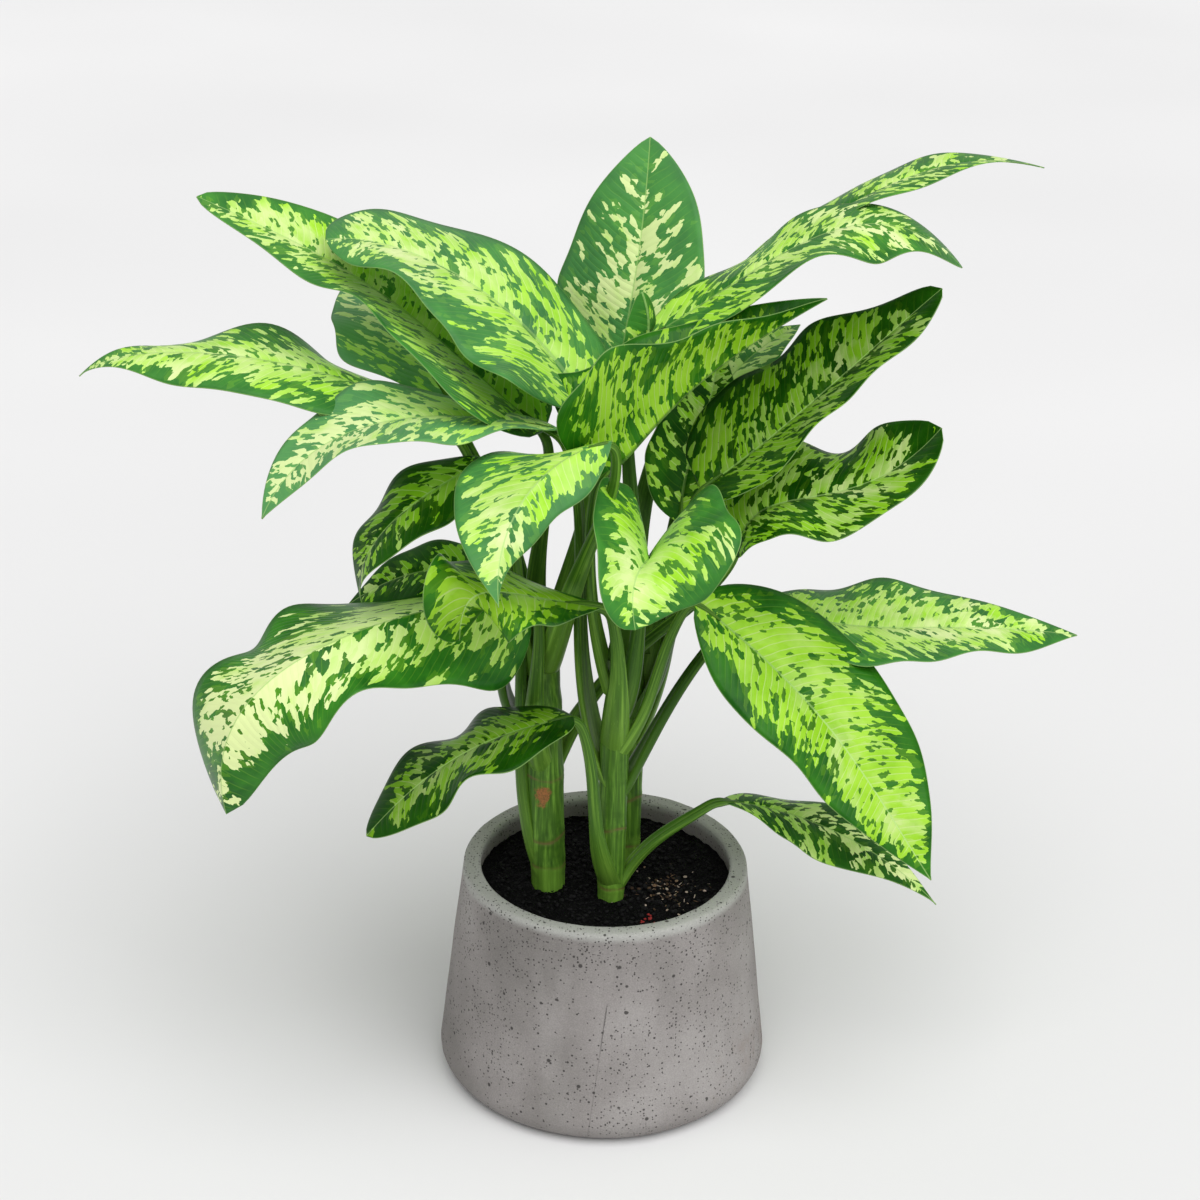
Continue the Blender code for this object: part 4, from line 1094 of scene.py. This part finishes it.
for number, (name, leaf) in enumerate(LEAVES.items()):
    bm = grow_blade(leaf, number * 0.617 + 0.2)
    blade = finished(f"blade_{name}", bm, SKINS[leaf.green], f"leaf_{name}")
    blade.vertex_groups.new(name="keel")
    sheet = blade.modifiers.new("thickness", "SOLIDIFY")
    sheet.thickness = KEEL
    sheet.offset = -1
    sheet.vertex_group = "keel"
    sheet.use_even_offset = False


# ---- The leaf stalks ------------------------------------------------------------------------
# One to a leaf. The lower part is a broad sheath that clasps the cane and the stalks inside it,
# and from there up it is a juicy round stalk with a shallow groove, which runs on as the midrib.

STALK_FOOT_RADIUS = 0.0052
STALK_END_RADIUS = 0.0026
STALK_RUN_ON = 0.016
STALK_SIDES = 20
STALK_RINGS = 90
STALK_BEND = 0.3
STALK_CROOK = 0.3
# It ends this far short of the blade, and then runs on this deep under the midrib.
NECK = 0.0025
UNDER_MIDRIB = (0.0012, 0.0009)
RUN_ON_THINNING = 0.75
# The sheath fades out over this share of itself. It is broader and flatter than the stalk, and
# bends round the cane.
SHEATH_FADE = 0.24
SHEATH_BREADTH = 0.95
SHEATH_FLATNESS = 0.25
SHEATH_BEND = 0.020
GROOVE_DEPTH, GROOVE_WIDTH = 0.40, 0.45
# The foot sinks this far into the cane.
SETTLE_DEPTH, SETTLE_LENGTH = 0.0100, 0.040
GRAIN_RADIUS = 0.004

STALK_GREEN = (0.070, 0.180, 0.016, 1)
STALK_PALE = (0.25, 0.47, 0.060, 1)
STALK_DEEP = (0.022, 0.078, 0.006, 1)


def stalk_path(leaf, cane, steps):
    """Even steps from the foot of the stalk, over its bend, and some way on under the midrib."""
    middle, cane_radius = on_cane(cane, np.array([leaf.node]))
    outward = direction(0, leaf.bearing)
    foot = middle[0] + outward * (cane_radius[0] + STALK_FOOT_RADIUS)
    points = np.array(cane.points)
    section = min(np.searchsorted(points[:, 2], leaf.node, side="right"), len(points) - 1)
    way_up = points[section] - points[section - 1]
    way_up /= np.linalg.norm(way_up)
    _, along = midrib(leaf, np.array([0.0]))
    neck = np.array(leaf.base) - along[0] * NECK
    span = np.linalg.norm(neck - foot)
    arrival = along[0] * STALK_BEND + (neck - foot) / span
    first = foot + (way_up + outward * leaf.lean) * span * leaf.rise
    second = neck - arrival / np.linalg.norm(arrival) * span * STALK_CROOK
    stem = bezier(foot, first, second, neck, np.linspace(0, 1, 80))
    length = np.linalg.norm(np.subtract(leaf.tip, leaf.base))
    ribs, _, up = blade_frame(leaf, np.linspace(0, STALK_RUN_ON / length, 8))
    whole = np.concatenate([stem, ribs - up * np.linspace(*UNDER_MIDRIB, 8)[:, None]])
    for _ in range(30):
        whole[1:-1] = (whole[:-2] + 2 * whole[1:-1] + whole[2:]) / 4
    reach = np.concatenate([[0], np.cumsum(np.linalg.norm(np.diff(whole, axis=0), axis=1))])
    even = np.linspace(0, reach[-1], steps)
    path = np.stack([np.interp(even, reach, line) for line in whole.T], axis=1)
    return path, outward, reach[-1]


def carried(path, outward):
    """The way outwards at each point of a path, carried along it without twisting."""
    along = np.gradient(path, axis=0)
    along /= np.linalg.norm(along, axis=1, keepdims=True)
    ways = []
    way = np.array(outward, float)
    for step_along in along:
        way = way - step_along * np.dot(step_along, way)
        way /= np.linalg.norm(way)
        ways.append(way)
    return np.array(ways), along


def grow_stalk(leaf, seed):
    cane = CANES[leaf.cane]
    bm, turn, share = tube(STALK_SIDES, STALK_RINGS)
    path, outward, length = stalk_path(leaf, cane, STALK_RINGS + 2)
    ways, along = carried(path, outward)
    ring = np.rint(share * (STALK_RINGS + 1)).astype(int)
    middle, out, up = path[ring], ways[ring], along[ring]
    side = np.cross(up, out)
    tail = np.clip((share * length - (length - STALK_RUN_ON)) / STALK_RUN_ON, 0, 1)
    radius = STALK_END_RADIUS + (STALK_FOOT_RADIUS - STALK_END_RADIUS) * (1 - share) ** 0.6
    radius = radius * (1 - RUN_ON_THINNING * tail)
    sheath = 1 / (1 + np.exp((share - leaf.sheath) / (SHEATH_FADE * leaf.sheath)))
    sheath = sheath * min(1, leaf.sheath / 0.3)
    x = np.cos(turn) * radius * (1 + SHEATH_BREADTH * sheath)
    y = np.sin(turn) * radius * (1 - SHEATH_FLATNESS * sheath)
    groove = np.where(np.sin(turn) < 0, bell(np.cos(turn), GROOVE_WIDTH), 0)
    y = y + groove * radius * GROOVE_DEPTH * (1 - tail) * (1 - sheath)
    y = y - sheath * x**2 / SHEATH_BEND
    settle = SETTLE_DEPTH * np.exp(-share * length / SETTLE_LENGTH)
    move_to(bm, middle + side * x[:, None] + out * (y - settle)[:, None])
    around = GRAIN_RADIUS * np.cos(turn) + seed, GRAIN_RADIUS * np.sin(turn)
    store(bm, "grain", *around, share * length)
    store(bm, "growth", share, seed, 0)
    return bm


def stalk_skin():
    material, tree, shader = new_material("stalk_skin", Specular_IOR_Level=0.18)
    grain = stored(tree, "grain")
    share, seed, _ = parts_of(tree, stored(tree, "growth"))
    streaks = grains(tree, stretched(tree, grain, (700, 700, 14)), 1, 3, 0.6)
    flecks = grains(tree, stretched(tree, grain, (1500, 1500, 160)), 1, 2, 0.6)
    colour = ramp(tree, streaks, (0.26, STALK_DEEP), (0.50, STALK_GREEN), (0.76, STALK_PALE))
    colour = tinted(tree, colour, STALK_PALE, flecks, 0.60, 0.74, 0.35)
    colour = tinted(tree, colour, STALK_PALE, share, 0.45, 0.0, 0.30)
    darkening = grains(tree, stretched(tree, joined(tree, seed, seed), (31, 17, 1)), 1, 1)
    colour = tinted(tree, colour, STALK_DEEP, darkening, 0.40, 0.62, 0.65)
    roughness = step(tree, streaks, 0.3, 0.7, 0.34, 0.46)
    finish_surface(tree, shader, colour, roughness, streaks, 0.0003, 0.5)
    return material


STALK_SKIN = stalk_skin()
for number, (name, leaf) in enumerate(LEAVES.items()):
    bm = grow_stalk(leaf, number * 0.1)
    finished(f"leaf_stalk_{name}", bm, STALK_SKIN, f"stalk_{name}")


# ---- The studio -----------------------------------------------------------------------------
# A plain pale floor that runs off into the distance, an even light from all round, a broad soft
# light high in front, and a weak one from the right. The camera in front looks down on the plant.

FLOOR_RADIUS = 80
FLOOR_GREY = (0.78, 0.78, 0.785, 1)
FLOOR_LIGHT = (0.84, 0.84, 0.845, 1)
SKY_WHITE = (1, 0.995, 0.985, 1)
SKY_POWER = 0.49
LIGHT_AIM = (0, 0, 0.3)
LIGHT_SPREAD = 60
KEY_PLACE, KEY_POWER = (0.5, -1.4, 3.2), 2.0
FILL_PLACE, FILL_POWER = (2.0, -1.6, 1.2), 0.35
CAMERA_PLACE = (-0.0073, -1.531, 1.071)
CAMERA_PITCH = 24.8
CAMERA_ROLL = 1.1
LENS = 75
FRAME_WIDTH = 36


def lay_floor():
    material, tree, shader = new_material("studio_floor", Roughness=0.9, Specular_IOR_Level=0.1)
    wash = grains(tree, place_on(tree), 0.8, 2)
    feed(tree, shader.inputs["Base Color"], ramp(tree, wash, (0.3, FLOOR_GREY), (0.7, FLOOR_LIGHT)))
    bm = bmesh.new()
    bmesh.ops.create_circle(bm, cap_ends=True, segments=96, radius=FLOOR_RADIUS)
    floor = piece_of("studio_floor", bm, material)


def light_sky():
    world = bpy.data.worlds.new("studio")
    world.use_nodes = True
    sky = world.node_tree.nodes["Background"].inputs
    sky["Color"].default_value = SKY_WHITE
    sky["Strength"].default_value = SKY_POWER
    bpy.context.scene.world = world
    bpy.context.scene.view_settings.view_transform = "Standard"


def soft_light(name, place, power):
    """A far light, spread over part of the sky."""
    light = bpy.data.lights.new(name, "SUN")
    light.angle = math.radians(LIGHT_SPREAD)
    light.energy = power
    lamp = bpy.data.objects.new(name, light)
    lamp.location = place
    aim = Vector(LIGHT_AIM) - Vector(place)
    lamp.rotation_euler = aim.to_track_quat("-Z", "Y").to_euler()
    bpy.context.scene.collection.objects.link(lamp)


def set_camera():
    data = bpy.data.cameras.new("camera")
    data.lens = LENS
    data.sensor_width = FRAME_WIDTH
    camera = bpy.data.objects.new("camera", data)
    bpy.context.scene.collection.objects.link(camera)
    aim = Matrix.Rotation(math.radians(90 - CAMERA_PITCH), 4, "X")
    roll = Matrix.Rotation(math.radians(CAMERA_ROLL), 4, "Z")
    camera.matrix_world = Matrix.Translation(CAMERA_PLACE) @ aim @ roll
    bpy.context.scene.camera = camera


lay_floor()
light_sky()
soft_light("key", KEY_PLACE, KEY_POWER)
soft_light("fill", FILL_PLACE, FILL_POWER)
set_camera()
